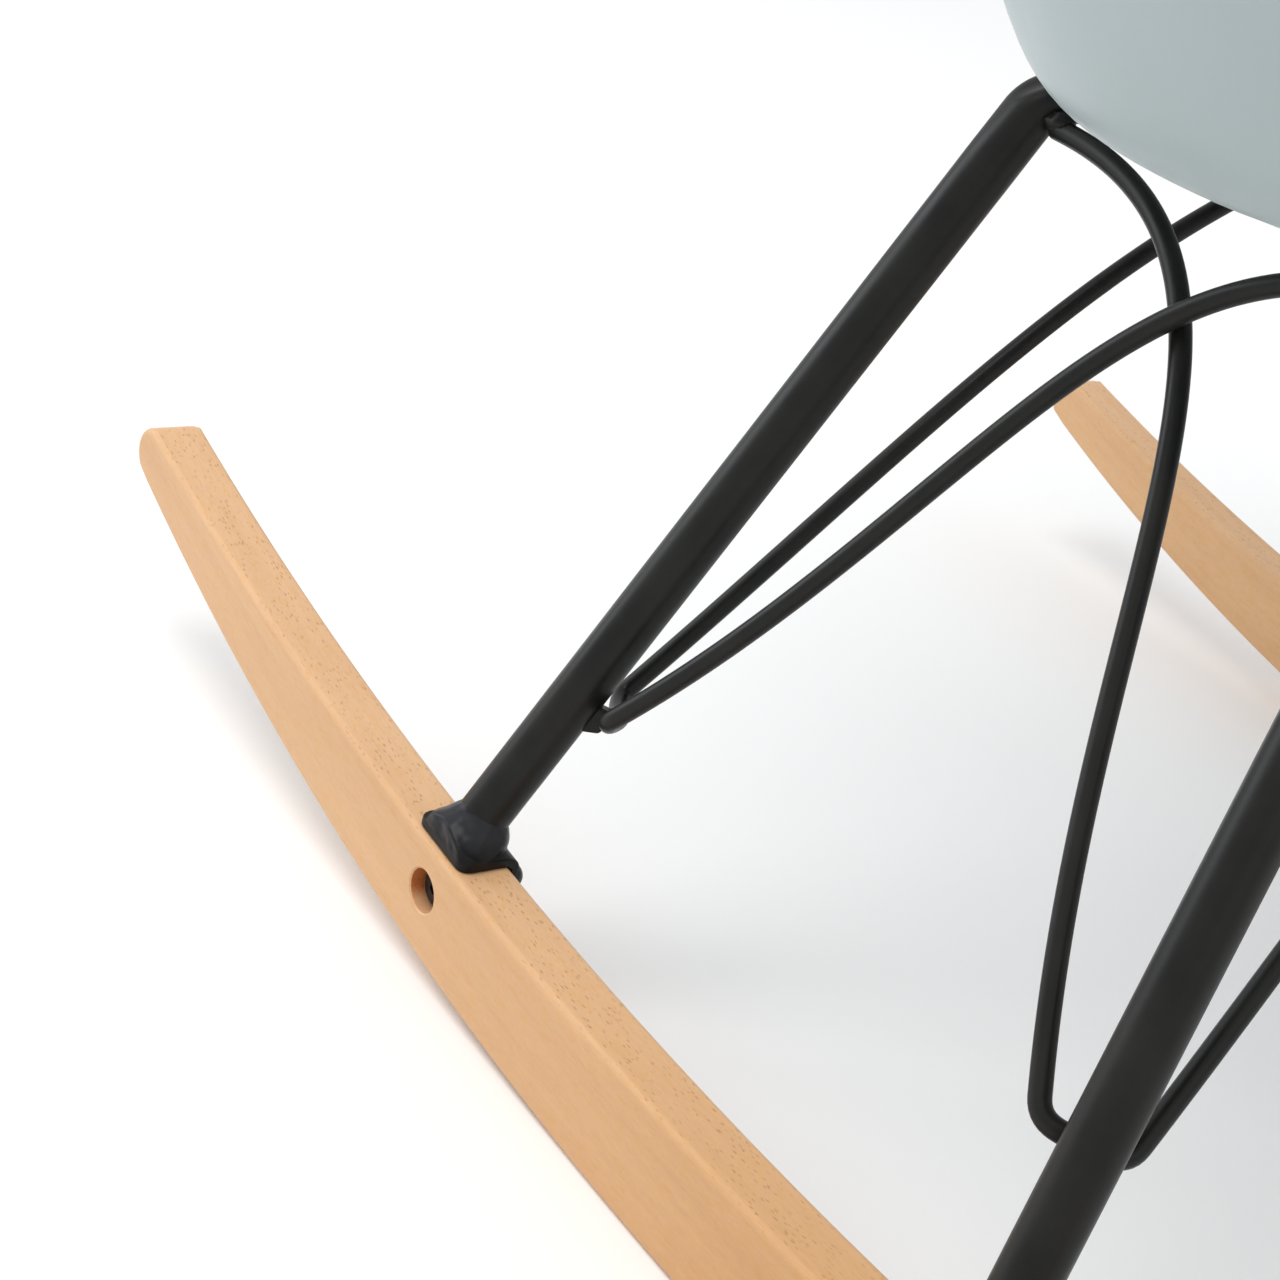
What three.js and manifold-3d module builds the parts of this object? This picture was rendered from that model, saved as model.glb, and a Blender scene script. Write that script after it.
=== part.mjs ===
// Rocking armchair: a moulded bucket seat on a braced steel tube base with two beech rockers.
//
// Frame: millimetres, +Z up. The origin is on the floor, midway between the rockers and midway
// between their tips. The front of the chair faces -Y and the sitter's left is +X.
// Corner pieces are described once, for a corner in the +X +Y quarter, and mirrored to the others.
import * as THREE from 'three';
import { mergeVertices } from 'three/addons/utils/BufferGeometryUtils.js';
import Module from 'manifold-3d';

// Rockers: a bent strip of beech, thickest in the middle
const ROCKER_X = 230;
const ROCKER_WIDTH = 20;
const ROCKER_THICKNESS = 40;
const ROCKER_HALF_LENGTH = 350;
const SOLE_RADIUS = 936;
const TOP_RADIUS = 1316;
const TIP_RADIUS = 10;
const EDGE_ROUND = 2.5;

// Steel base
const SADDLE_Y = 120;
const TUBE_RADIUS = 8;
const TUBE_WALL = 1.5;
const BORE_LENGTH = 240;
const LEG_KNEE = new THREE.Vector3(113.1, 80.7, 297);
const LEG_STRAIGHT = 268;
const TAB_REACH = 30;
const TAB_RADIUS = 11;
const TAB_THICKNESS = 4;
const WIRE_RADIUS = 3;
const WIRE_TOP_Z = 287.9;
const PLATE_THICKNESS = 3;
const PLATE_LENGTH = 28;
const FLANGE_DROP = 24;
const WELD_RADIUS = 12.6;
const WELD_HEIGHT = 12;
const GAP = 0.3;

// Fasteners
const BOLT_DROP = 16;
const BOLT_RADIUS = 2.95;
const BOLT_HOLE_RADIUS = 3.4;
const HEAD_RADIUS = 6;
const HEAD_HEIGHT = 3.9;
const COUNTERBORE_RADIUS = 7;
const COUNTERBORE_DEPTH = 10;
const NUT_FLATS = 10;
const NUT_HEIGHT = 12;
const PAD_THICKNESS = 2;
const PAD_RADIUS = 12;
const INSERT_RADIUS = 4.6;
const INSERT_LENGTH = 4.5;
const BOSS_RADIUS = 13;

// Seat shell: radii are measured in plan from the lowest point of the seat
const SHELL_THICKNESS = 4.5;
const SEAT_CENTRE_Y = -46.5;
const SEAT_BASE_Z = 302.8;
const SEAT_TILT = THREE.MathUtils.degToRad(1.5);
const PAN = { side: 196, front: 120, back: 161, power: 2 };
const RIM = { side: 305, front: 215, back: 315, power: 2.3 };
const RIM_HEIGHT = { front: 45, arm: 222, back: 408 };
const CORNER_SIDE = 21.4;
const CORNER_BACK = 52;
const LIP_WIDTH = 12;
const LIP_DROP = 7;
const SHELL_SECTORS = 42;
const SHELL_RINGS = 12;

// Sides of round pieces
const ROUND = 16;

const wasm = await Module();
wasm.setup();

const chair = new THREE.Group();
const { degToRad, smoothstep } = THREE.MathUtils;
const vec = (x, y, z) => new THREE.Vector3(x, y, z);

const corners = [
  { tag: 'rear_left', side: 1, end: 1 },
  { tag: 'rear_right', side: -1, end: 1 },
  { tag: 'front_left', side: 1, end: -1 },
  { tag: 'front_right', side: -1, end: -1 },
];

const finishes = {
  shell: { color: 0xb9c6c6, roughness: 0.38, metalness: 0 },
  steel: { color: 0x2b2b2a, roughness: 0.45, metalness: 0.3 },
  beech: { color: 0xdcab7b, roughness: 0.5, metalness: 0 },
  rubber: { color: 0x1b1b1b, roughness: 0.85, metalness: 0 },
  brass: { color: 0xb08a45, roughness: 0.35, metalness: 1 },
};

function add(name, geometry, finish, parent = chair) {
  const mesh = new THREE.Mesh(geometry, new THREE.MeshStandardMaterial(finishes[finish]));
  mesh.name = name;
  parent.add(mesh);
  return mesh;
}

// ---- Solid helpers ----

function toSolid(geometry) {
  const bare = geometry.clone();
  bare.deleteAttribute('normal');
  bare.deleteAttribute('uv');
  const { attributes, index } = mergeVertices(bare, 1e-4);
  return new wasm.Manifold(new wasm.Mesh({
    numProp: 3,
    vertProperties: new Float32Array(attributes.position.array),
    triVerts: new Uint32Array(index.array),
  }));
}

function fromSolid(solid) {
  const { vertProperties, triVerts } = solid.getMesh();
  const geometry = new THREE.BufferGeometry();
  geometry.setAttribute('position', new THREE.BufferAttribute(vertProperties, 3));
  geometry.setIndex(new THREE.BufferAttribute(triVerts, 1));
  return geometry;
}

function signedVolume(positions, index) {
  const [a, b, c] = [vec(), vec(), vec()];
  let total = 0;
  for (let i = 0; i < index.length; i += 3) {
    a.fromArray(positions, 3 * index[i]);
    b.fromArray(positions, 3 * index[i + 1]);
    c.fromArray(positions, 3 * index[i + 2]);
    total += a.dot(b.cross(c)) / 6;
  }
  return total;
}

// Joins equal rings of points in order and closes both ends with a fan
function loft(rings) {
  const sides = rings[0].length;
  const middle = (ring) => ring.reduce((sum, p) => sum.add(p), vec(0, 0, 0)).divideScalar(sides);
  const points = [...rings.flat(), middle(rings[0]), middle(rings.at(-1))];
  const positions = points.flatMap((p) => p.toArray());
  const [firstCap, lastCap] = [points.length - 2, points.length - 1];
  const index = [];
  for (let side = 0; side < sides; side++) {
    const next = (side + 1) % sides;
    for (let ring = 0; ring + 1 < rings.length; ring++) {
      const [low, high] = [ring * sides, (ring + 1) * sides];
      index.push(low + side, low + next, high + next, low + side, high + next, high + side);
    }
    const last = (rings.length - 1) * sides;
    index.push(firstCap, next, side, lastCap, last + side, last + next);
  }
  if (signedVolume(positions, index) < 0) {
    index.reverse();
  }
  const geometry = new THREE.BufferGeometry();
  geometry.setAttribute('position', new THREE.Float32BufferAttribute(positions, 3));
  geometry.setIndex(index);
  return geometry;
}

// Cylinder from low to high along +X, +Y or +Z
function rod(axis, radius, low, high, sides = ROUND) {
  const geometry = new THREE.CylinderGeometry(radius, radius, high - low, sides);
  geometry.translate(0, (low + high) / 2, 0);
  if (axis === 'x') geometry.rotateZ(-Math.PI / 2);
  if (axis === 'z') geometry.rotateX(Math.PI / 2);
  return geometry;
}

function block(low, high) {
  const size = vec(...high).sub(vec(...low));
  const geometry = new THREE.BoxGeometry(size.x, size.y, size.z);
  return geometry.translate((low[0] + high[0]) / 2, (low[1] + high[1]) / 2, (low[2] + high[2]) / 2);
}

// Turned piece: the profile is a list of [radius, height] pairs along +Z
function turned(profile, sides = ROUND) {
  const points = profile.map(([radius, height]) => new THREE.Vector2(radius, height));
  return new THREE.LatheGeometry(points, sides).rotateX(Math.PI / 2);
}

const washer = (inner, outer, low, high) => turned(
  [[inner, low], [outer, low], [outer, high], [inner, high], [inner, low]]);

// Rectangle with rounded corners, as a shape
function roundedRectangle(low, high, radii) {
  const [x0, y0] = low;
  const [x1, y1] = high;
  const [r00, r10, r11, r01] = radii;
  const shape = new THREE.Shape();
  shape.absarc(x0 + r00, y0 + r00, r00, Math.PI, 1.5 * Math.PI);
  shape.absarc(x1 - r10, y0 + r10, r10, 1.5 * Math.PI, 2 * Math.PI);
  shape.absarc(x1 - r11, y1 - r11, r11, 0, 0.5 * Math.PI);
  shape.absarc(x0 + r01, y1 - r01, r01, 0.5 * Math.PI, Math.PI);
  return shape;
}

// ---- Rockers ----

const soleHeight = (y) => SOLE_RADIUS - Math.sqrt(SOLE_RADIUS ** 2 - y * y);
const topHeight = (y) => ROCKER_THICKNESS + TOP_RADIUS - Math.sqrt(TOP_RADIUS ** 2 - y * y);
const SADDLE_SLOPE = Math.asin(SADDLE_Y / TOP_RADIUS);

function rockerOutline() {
  const facets = 35;
  const tipFacets = 6;
  const tipY = ROCKER_HALF_LENGTH - TIP_RADIUS;
  const tipZ = (soleHeight(tipY) + topHeight(tipY)) / 2;
  const tipSlope = (Math.asin(tipY / SOLE_RADIUS) + Math.asin(tipY / TOP_RADIUS)) / 2;
  const halfTip = (topHeight(tipY) - soleHeight(tipY)) / 2 * Math.cos(tipSlope);
  const flatDrop = soleHeight(tipY / facets);
  const points = [];
  for (let i = 0; i <= facets; i++) {
    const y = tipY * (2 * i / facets - 1);
    points.push([y, soleHeight(y) - flatDrop]);
  }
  for (let i = 1; i < tipFacets; i++) {
    const turn = Math.PI * (i / tipFacets - 0.5);
    const [along, up] = [TIP_RADIUS * Math.cos(turn), halfTip * Math.sin(turn)];
    points.push([
      tipY + along * Math.cos(tipSlope) - up * Math.sin(tipSlope),
      tipZ + along * Math.sin(tipSlope) + up * Math.cos(tipSlope),
    ]);
  }
  const rightTip = points.slice(facets + 1);
  for (let i = 0; i <= facets; i++) {
    const y = tipY * (1 - 2 * i / facets);
    points.push([y, topHeight(y)]);
  }
  rightTip.reverse().forEach(([y, z]) => points.push([-y, z]));
  return new THREE.Shape(points.map(([y, z]) => new THREE.Vector2(y, z)));
}

function rockerSolid(side) {
  const strip = new THREE.ExtrudeGeometry(rockerOutline(), {
    depth: ROCKER_WIDTH - 2 * EDGE_ROUND,
    bevelThickness: EDGE_ROUND,
    bevelSize: EDGE_ROUND,
    bevelOffset: -EDGE_ROUND,
    bevelSegments: 2,
  });
  strip.translate(0, 0, EDGE_ROUND - ROCKER_WIDTH / 2);
  strip.applyMatrix4(new THREE.Matrix4().makeBasis(vec(0, 1, 0), vec(0, 0, 1), vec(1, 0, 0)));
  let solid = toSolid(strip);
  const half = ROCKER_WIDTH / 2;
  for (const end of [-1, 1]) {
    const y = end * (SADDLE_Y + BOLT_DROP * Math.sin(SADDLE_SLOPE));
    const z = topHeight(SADDLE_Y) - BOLT_DROP * Math.cos(SADDLE_SLOPE);
    const hole = rod('x', BOLT_HOLE_RADIUS, -half - 1, half + 1);
    const mouth = side * half;
    const floor = side * (half - COUNTERBORE_DEPTH);
    const counterbore = rod('x', COUNTERBORE_RADIUS, Math.min(mouth + side, floor),
      Math.max(mouth + side, floor), 24);
    for (const cut of [hole, counterbore]) {
      solid = solid.subtract(toSolid(cut.translate(0, y, z)));
    }
  }
  return fromSolid(solid);
}

// ---- Legs ----

const footPoint = vec(ROCKER_X, SADDLE_Y, topHeight(SADDLE_Y));
const legAxis = LEG_KNEE.clone().sub(footPoint).normalize();
const legAt = (distance) => footPoint.clone().addScaledVector(legAxis, distance);
const inward = vec(legAxis.x, legAxis.y, 0).normalize();
const across = vec(-inward.y, inward.x, 0);
const mountPoint = LEG_KNEE.clone().addScaledVector(inward, TAB_REACH);
const saddleNormal = vec(0, -Math.sin(SADDLE_SLOPE), Math.cos(SADDLE_SLOPE));
const mirror = (point, side, end) => vec(side * point.x, end * point.y, point.z);

// A ring round the leg: an ellipse that squares up as the tube is flattened
function legRing(centre, tangent, halfWidth, halfThickness, squareness) {
  const sides = 14;
  const lift = tangent.clone().cross(across).normalize();
  const power = 2 / (2 + 3 * squareness);
  const swell = (value) => Math.sign(value) * Math.abs(value) ** power;
  return Array.from({ length: sides }, (_, i) => {
    const turn = 2 * Math.PI * (i + 0.5) / sides;
    return centre.clone()
      .addScaledVector(across, halfWidth * swell(Math.cos(turn)))
      .addScaledVector(lift, halfThickness * swell(Math.sin(turn)));
  });
}

// Slides each point of a ring along the leg until it is the given height above the rocker
function trimToSaddle(ring, height) {
  return ring.map((point) => {
    const missing = height - point.clone().sub(footPoint).dot(saddleNormal);
    return point.addScaledVector(legAxis, missing / legAxis.dot(saddleNormal));
  });
}

function legSolid(side, end) {
  const footHeight = PLATE_THICKNESS + 2 * GAP;
  const kneePath = new THREE.QuadraticBezierCurve3(
    legAt(LEG_STRAIGHT), LEG_KNEE, LEG_KNEE.clone().addScaledVector(inward, 0.7 * TAB_REACH));
  const bore = TUBE_RADIUS - TUBE_WALL;
  const rings = [
    legRing(legAt(BORE_LENGTH), legAxis, bore, bore, 0),
    trimToSaddle(legRing(footPoint, legAxis, bore, bore, 0), footHeight),
    trimToSaddle(legRing(footPoint, legAxis, TUBE_RADIUS, TUBE_RADIUS, 0), footHeight),
    legRing(legAt(LEG_STRAIGHT - 14), legAxis, TUBE_RADIUS, TUBE_RADIUS, 0),
  ];
  const kneeSteps = 7;
  for (let i = 0; i <= kneeSteps; i++) {
    const flat = smoothstep(i + 1, 0, kneeSteps + 1);
    rings.push(legRing(
      kneePath.getPoint(i / kneeSteps), kneePath.getTangent(i / kneeSteps),
      TUBE_RADIUS + flat * (TAB_RADIUS - TUBE_RADIUS),
      TUBE_RADIUS + flat * (TAB_THICKNESS / 2 - TUBE_RADIUS), flat));
  }
  for (const turn of [0, 25, 45, 60, 73, 83]) {
    const centre = mountPoint.clone().addScaledVector(inward, TAB_RADIUS * Math.sin(degToRad(turn)));
    rings.push(legRing(centre, inward, TAB_RADIUS * Math.cos(degToRad(turn)), TAB_THICKNESS / 2, 1));
  }
  const leg = toSolid(loft(rings.map((ring) => ring.map((point) => mirror(point, side, end)))));
  const hole = rod('z', BOLT_HOLE_RADIUS, -TAB_THICKNESS, TAB_THICKNESS);
  hole.translate(side * mountPoint.x, end * mountPoint.y, mountPoint.z);
  return fromSolid(leg.subtract(toSolid(hole)));
}

// ---- Brace wires ----
// Each wire is one hairpin. Its bend hugs the inner side of a leg near the foot. One arm rises
// across the chair to the opposite leg and the other rises along the rocker to the leg at the
// other end; where two arms cross under the seat, one passes outside the other.

const BEND_TIP = { along: 57, out: TUBE_RADIUS + WIRE_RADIUS + 1.2 };
const ARM_START = { along: 68, out: 20.5 };
const ARMS = {
  cross: {
    heading: vec(-1, 0, 0), rise: 47.2, pull: 139, settle: 144,
    end: vec(-104, 82.8, WIRE_TOP_Z), innerShift: vec(0, 0, 1.5),
  },
  along: {
    heading: vec(0, -1, 0), rise: 56.1, pull: 129, settle: 100,
    end: vec(119.3, -73.2, WIRE_TOP_Z), innerShift: vec(0, 1.4, 0),
  },
};
const CROSSING_OFFSET = 3.4;
const LUG_WIDTH = 7;

// Unit vector square to the leg and as near as can be to the given direction
function squareToLeg(heading) {
  return heading.clone().addScaledVector(legAxis, -heading.dot(legAxis)).normalize();
}

const bendDirection = () => squareToLeg(ARMS.cross.heading)
  .add(squareToLeg(ARMS.along.heading)).normalize();

function wireArm({ heading, rise, pull, settle, end, innerShift }, outward) {
  const normal = legAxis.clone().cross(heading).normalize();
  if (normal.x + normal.y < 0) normal.negate();
  const shift = normal.clone().multiplyScalar(outward * CROSSING_OFFSET);
  const up = heading.clone().cross(normal).normalize();
  up.multiplyScalar(Math.sign(up.z));
  const slope = heading.clone().multiplyScalar(Math.cos(degToRad(rise)))
    .addScaledVector(up, Math.sin(degToRad(rise)));
  const start = legAt(ARM_START.along).addScaledVector(squareToLeg(heading), ARM_START.out)
    .add(shift);
  const finish = end.clone().add(shift).addScaledVector(innerShift, outward < 0 ? 1 : 0);
  const curve = new THREE.CubicBezierCurve3(
    start, start.clone().addScaledVector(slope, pull),
    finish.clone().addScaledVector(heading, -settle), finish);
  return { curve, start, slope };
}

function wirePath(side, end) {
  const outward = -side * end;
  const cross = wireArm(ARMS.cross, outward);
  const along = wireArm(ARMS.along, outward);
  const tip = legAt(BEND_TIP.along).addScaledVector(bendDirection(), BEND_TIP.out);
  const turn = along.start.clone().sub(cross.start).normalize();
  const hold = 8;
  const points = [
    ...cross.curve.getPoints(10).reverse(),
    ...new THREE.CubicBezierCurve3(
      cross.start, cross.start.clone().addScaledVector(cross.slope, -hold),
      tip.clone().addScaledVector(turn, -hold), tip).getPoints(3).slice(1),
    ...new THREE.CubicBezierCurve3(
      tip, tip.clone().addScaledVector(turn, hold),
      along.start.clone().addScaledVector(along.slope, -hold), along.start).getPoints(3).slice(1),
    ...along.curve.getPoints(10).slice(1),
  ];
  return new THREE.CatmullRomCurve3(points.map((point) => mirror(point, side, end)));
}

function wireSolid(side, end, radius = WIRE_RADIUS) {
  const section = new THREE.Shape();
  section.absarc(0, 0, radius, 0, 2 * Math.PI);
  return new THREE.ExtrudeGeometry(section, {
    extrudePath: wirePath(side, end), steps: 60, curveSegments: 4,
  });
}

// Small wedge of weld that fills the corner between the leg and the underside of the wire's bend
function lugSolid(side, end) {
  const filler = block(
    [-LUG_WIDTH / 2, TUBE_RADIUS - 2, -WIRE_RADIUS], [LUG_WIDTH / 2, BEND_TIP.out - 0.5, 0]);
  const legCut = rod('z', TUBE_RADIUS + GAP, -20, 20, 32);
  const lug = fromSolid(toSolid(filler).subtract(toSolid(legCut)));
  const inside = bendDirection();
  lug.applyMatrix4(new THREE.Matrix4().makeBasis(inside.clone().cross(legAxis), inside, legAxis));
  lug.translate(...legAt(BEND_TIP.along).toArray());
  lug.scale(side, end, 1);
  if (side * end < 0) {
    lug.index.array.reverse();
  }
  return fromSolid(toSolid(lug).subtract(toSolid(wireSolid(side, end, WIRE_RADIUS + GAP))));
}

// ---- Saddle brackets ----
// Corner frame: +X inward across the rocker, +Z square to the rocker's top face.

function bracketSolid(legTilt) {
  const half = ROCKER_WIDTH / 2;
  const outer = half + GAP + PLATE_THICKNESS;
  const [low, high] = [GAP, GAP + PLATE_THICKNESS];
  const profile = new THREE.Shape();
  profile.moveTo(-half + 2, low);
  profile.lineTo(half + GAP - 2, low);
  profile.absarc(half + GAP - 2, low - 2, 2, Math.PI / 2, 0, true);
  profile.lineTo(half + GAP, -FLANGE_DROP);
  profile.lineTo(outer, -FLANGE_DROP);
  profile.lineTo(outer, high - 5);
  profile.absarc(outer - 5, high - 5, 5, 0, Math.PI / 2);
  profile.lineTo(-half + 2, high);
  const sheet = new THREE.ExtrudeGeometry(profile, {
    depth: PLATE_LENGTH, bevelEnabled: false, curveSegments: 4,
  });
  sheet.rotateX(Math.PI / 2).translate(0, PLATE_LENGTH / 2, 0);
  const reach = PLATE_LENGTH / 2;
  const plan = new THREE.ExtrudeGeometry(
    roundedRectangle([-half + 2, -reach], [outer, reach], [4, 0.1, 0.1, 4]),
    { depth: 80, bevelEnabled: false, curveSegments: 3 }).translate(0, 0, -60);
  const face = new THREE.ExtrudeGeometry(
    roundedRectangle([-reach, -FLANGE_DROP], [reach, 20], [7, 7, 0.1, 0.1]),
    { depth: 60, bevelEnabled: false, curveSegments: 4 });
  face.applyMatrix4(new THREE.Matrix4().makeBasis(vec(0, 1, 0), vec(0, 0, 1), vec(1, 0, 0)));
  face.translate(-30, 0, 0);
  const collar = turned([
    [0, -10], [WELD_RADIUS + 2.9, -10], [WELD_RADIUS + 2.9, 0], [WELD_RADIUS, high],
    [TUBE_RADIUS + 3.8, high + 2.2], [TUBE_RADIUS + 3.2, high + 5],
    [TUBE_RADIUS + 0.8, WELD_HEIGHT], [0, WELD_HEIGHT],
  ]).applyMatrix4(legTilt);
  const above = block([-30, -30, high - 1], [30, 30, 30]);
  const weld = toSolid(collar).intersect(toSolid(above)).intersect(toSolid(plan));
  const socket = toSolid(rod('z', TUBE_RADIUS + GAP, -5, 30, 20).applyMatrix4(legTilt))
    .intersect(toSolid(block([-30, -30, high], [30, 30, 40])));
  const hole = toSolid(rod('x', BOLT_HOLE_RADIUS, 0, 30).translate(0, 0, -BOLT_DROP));
  const solid = toSolid(sheet).intersect(toSolid(plan)).intersect(toSolid(face))
    .add(weld).subtract(socket).subtract(hole);
  return fromSolid(solid);
}

// ---- Fasteners ----

const hexagon = (flats) => flats / Math.sqrt(3);

// Rocker bolt along +X from the counterbore: head, shank and hexagon socket
function boltSolid() {
  const head = -ROCKER_WIDTH / 2 + COUNTERBORE_DEPTH - 1.8;
  const tip = ROCKER_WIDTH / 2 + PLATE_THICKNESS + NUT_HEIGHT - 4;
  const body = turned([
    [0, head - HEAD_HEIGHT], [HEAD_RADIUS - 0.8, head - HEAD_HEIGHT],
    [HEAD_RADIUS, head - HEAD_HEIGHT + 0.8], [HEAD_RADIUS, head], [BOLT_RADIUS, head],
    [BOLT_RADIUS, tip - 0.6], [BOLT_RADIUS - 0.6, tip], [0, tip],
  ]).rotateY(Math.PI / 2);
  const socket = rod('x', hexagon(4), head - 5, head - 1.2, 6);
  return fromSolid(toSolid(body).subtract(toSolid(socket)));
}

// Cap nut along +X: hexagon, dome and blind bore
function nutSolid() {
  const seat = ROCKER_WIDTH / 2 + PLATE_THICKNESS + 2 * GAP;
  const prism = toSolid(rod('x', hexagon(NUT_FLATS), seat, seat + 5.5, 6));
  const dome = turned([
    [0, seat + 5], [4.7, seat + 5], [4.7, seat + 7.6], [4.1, seat + 9.8], [2.6, seat + 11.4],
    [0, seat + NUT_HEIGHT],
  ]).rotateY(Math.PI / 2);
  const bore = rod('x', BOLT_RADIUS + GAP, seat - 1, seat + 9);
  return fromSolid(prism.add(toSolid(dome)).subtract(toSolid(bore)));
}

// Mounting screw along +Z from under the tab: pan head, hexagon socket and shank
function screwSolid() {
  const seat = -TAB_THICKNESS / 2 - GAP;
  const tip = TAB_THICKNESS / 2 + PAD_THICKNESS + 3 * GAP + INSERT_LENGTH - 0.8;
  const body = turned([
    [0, seat - 3.4], [3.6, seat - 3.4], [5.4, seat - 2.4], [6, seat - 0.8], [6, seat],
    [BOLT_RADIUS, seat], [BOLT_RADIUS, tip - 0.6], [BOLT_RADIUS - 0.6, tip], [0, tip],
  ]);
  const socket = rod('z', hexagon(4), seat - 5, seat - 1.4, 6);
  return fromSolid(toSolid(body).subtract(toSolid(socket)));
}

// ---- Seat shell ----
// Polar shape: the angle runs round the seat from the front, the radius runs out from the lowest
// point. Along each direction the floor of the pan turns up into a straight wall through a
// hyperbolic corner, and the wall's steepness is set by the height of the rim.

// Superellipse radius with its own length at the front and at the back
function planRadius({ side, front, back, power }, angle) {
  const [s, c] = [Math.abs(Math.sin(angle)), Math.cos(angle)];
  const length = c > 0 ? front : back;
  return ((s / side) ** power + (Math.abs(c) / length) ** power) ** (-1 / power);
}

function shellProfile(angle) {
  const degrees = Math.abs(THREE.MathUtils.radToDeg(Math.atan2(Math.sin(angle), Math.cos(angle))));
  const height = RIM_HEIGHT.front
    + (RIM_HEIGHT.arm - RIM_HEIGHT.front) * smoothstep(degrees, 30, 80)
    + (RIM_HEIGHT.back - RIM_HEIGHT.arm) * smoothstep(degrees, 100, 172);
  const corner = CORNER_SIDE + (CORNER_BACK - CORNER_SIDE) * smoothstep(degrees, 100, 180);
  const pan = planRadius(PAN, angle);
  const rim = planRadius(RIM, angle);
  const steepness = (height - corner ** 2 / (4 * height)) / (rim - pan);
  const bend = (radius) => {
    const wall = steepness * (radius - pan);
    return (wall + Math.sqrt(wall ** 2 + corner ** 2)) / 2;
  };
  const heightAt = (radius) => {
    const lip = Math.max(0, (radius - rim) / LIP_WIDTH + 1);
    return bend(radius) - bend(0) * (1 - radius / rim) - LIP_DROP * lip ** 2;
  };
  return { rim, heightAt };
}

// Point on the underside of the shell
function shellPoint(angle, radius) {
  const z = shellProfile(angle).heightAt(radius);
  return vec(radius * Math.sin(angle), -radius * Math.cos(angle), z)
    .applyAxisAngle(vec(1, 0, 0), -SEAT_TILT)
    .add(vec(0, SEAT_CENTRE_Y, SEAT_BASE_Z));
}

// Radii that divide one direction's profile into equal lengths
function evenRadii(angle, count) {
  const { rim, heightAt } = shellProfile(angle);
  const fine = 160;
  const lengths = [0];
  for (let i = 1; i <= fine; i++) {
    const [r0, r1] = [rim * (i - 1) / fine, rim * i / fine];
    lengths.push(lengths[i - 1] + Math.hypot(r1 - r0, heightAt(r1) - heightAt(r0)));
  }
  return Array.from({ length: count }, (_, step) => {
    const target = lengths[fine] * (step + 1) / count;
    const i = Math.min(fine, Math.max(1, lengths.findIndex((length) => length >= target - 1e-9)));
    const part = (target - lengths[i - 1]) / (lengths[i] - lengths[i - 1]);
    return rim * (i - 1 + part) / fine;
  });
}

// Unit normal of the underside, pointing into the seat
function shellNormal(angle, radius) {
  const [turn, step] = [0.004, 0.3];
  const round = shellPoint(angle + turn, radius).sub(shellPoint(angle - turn, radius));
  const out = shellPoint(angle, radius + step).sub(shellPoint(angle, radius - step));
  return out.cross(round).normalize();
}

function shellRings(thickness) {
  const sectors = Array.from({ length: SHELL_SECTORS }, (_, i) => 2 * Math.PI * i / SHELL_SECTORS);
  const radii = sectors.map((angle) => evenRadii(angle, SHELL_RINGS));
  return Array.from({ length: SHELL_RINGS }, (_, ring) => sectors.map((angle, i) => (
    shellPoint(angle, radii[i][ring])
      .addScaledVector(shellNormal(angle, radii[i][ring]), thickness))));
}

function shellSolid() {
  const under = shellRings(0);
  const inside = shellRings(SHELL_THICKNESS);
  const edge = under.at(-1).map((low, i) => {
    const outward = low.clone().sub(under.at(-2)[i]).normalize();
    return low.clone().add(inside.at(-1)[i]).multiplyScalar(0.5)
      .addScaledVector(outward, SHELL_THICKNESS / 2);
  });
  let shell = toSolid(loft([...under, edge, ...inside.reverse()]));
  const middle = shellRings(SHELL_THICKNESS / 2).slice(0, 7);
  const skirt = middle.at(-1).map((point) => vec(point.x, point.y, 250));
  const belowMiddle = toSolid(loft([...middle, skirt]));
  const face = mountPoint.z + TAB_THICKNESS / 2 + PAD_THICKNESS + 2 * GAP;
  for (const { side, end } of corners) {
    const [x, y] = [side * mountPoint.x, end * mountPoint.y];
    const boss = toSolid(rod('z', BOSS_RADIUS, face, face + 30).translate(x, y, 0));
    const socket = rod('z', INSERT_RADIUS + GAP, face - 10, face + INSERT_LENGTH + 2 * GAP);
    shell = shell.add(boss.intersect(belowMiddle)).subtract(toSolid(socket.translate(x, y, 0)));
  }
  return fromSolid(shell);
}

// ---- Assembly ----

add('seat_shell', shellSolid(), 'shell');
for (const [tag, side] of [['left', 1], ['right', -1]]) {
  add(`rocker_${tag}`, rockerSolid(side), 'beech').position.x = side * ROCKER_X;
}

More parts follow.
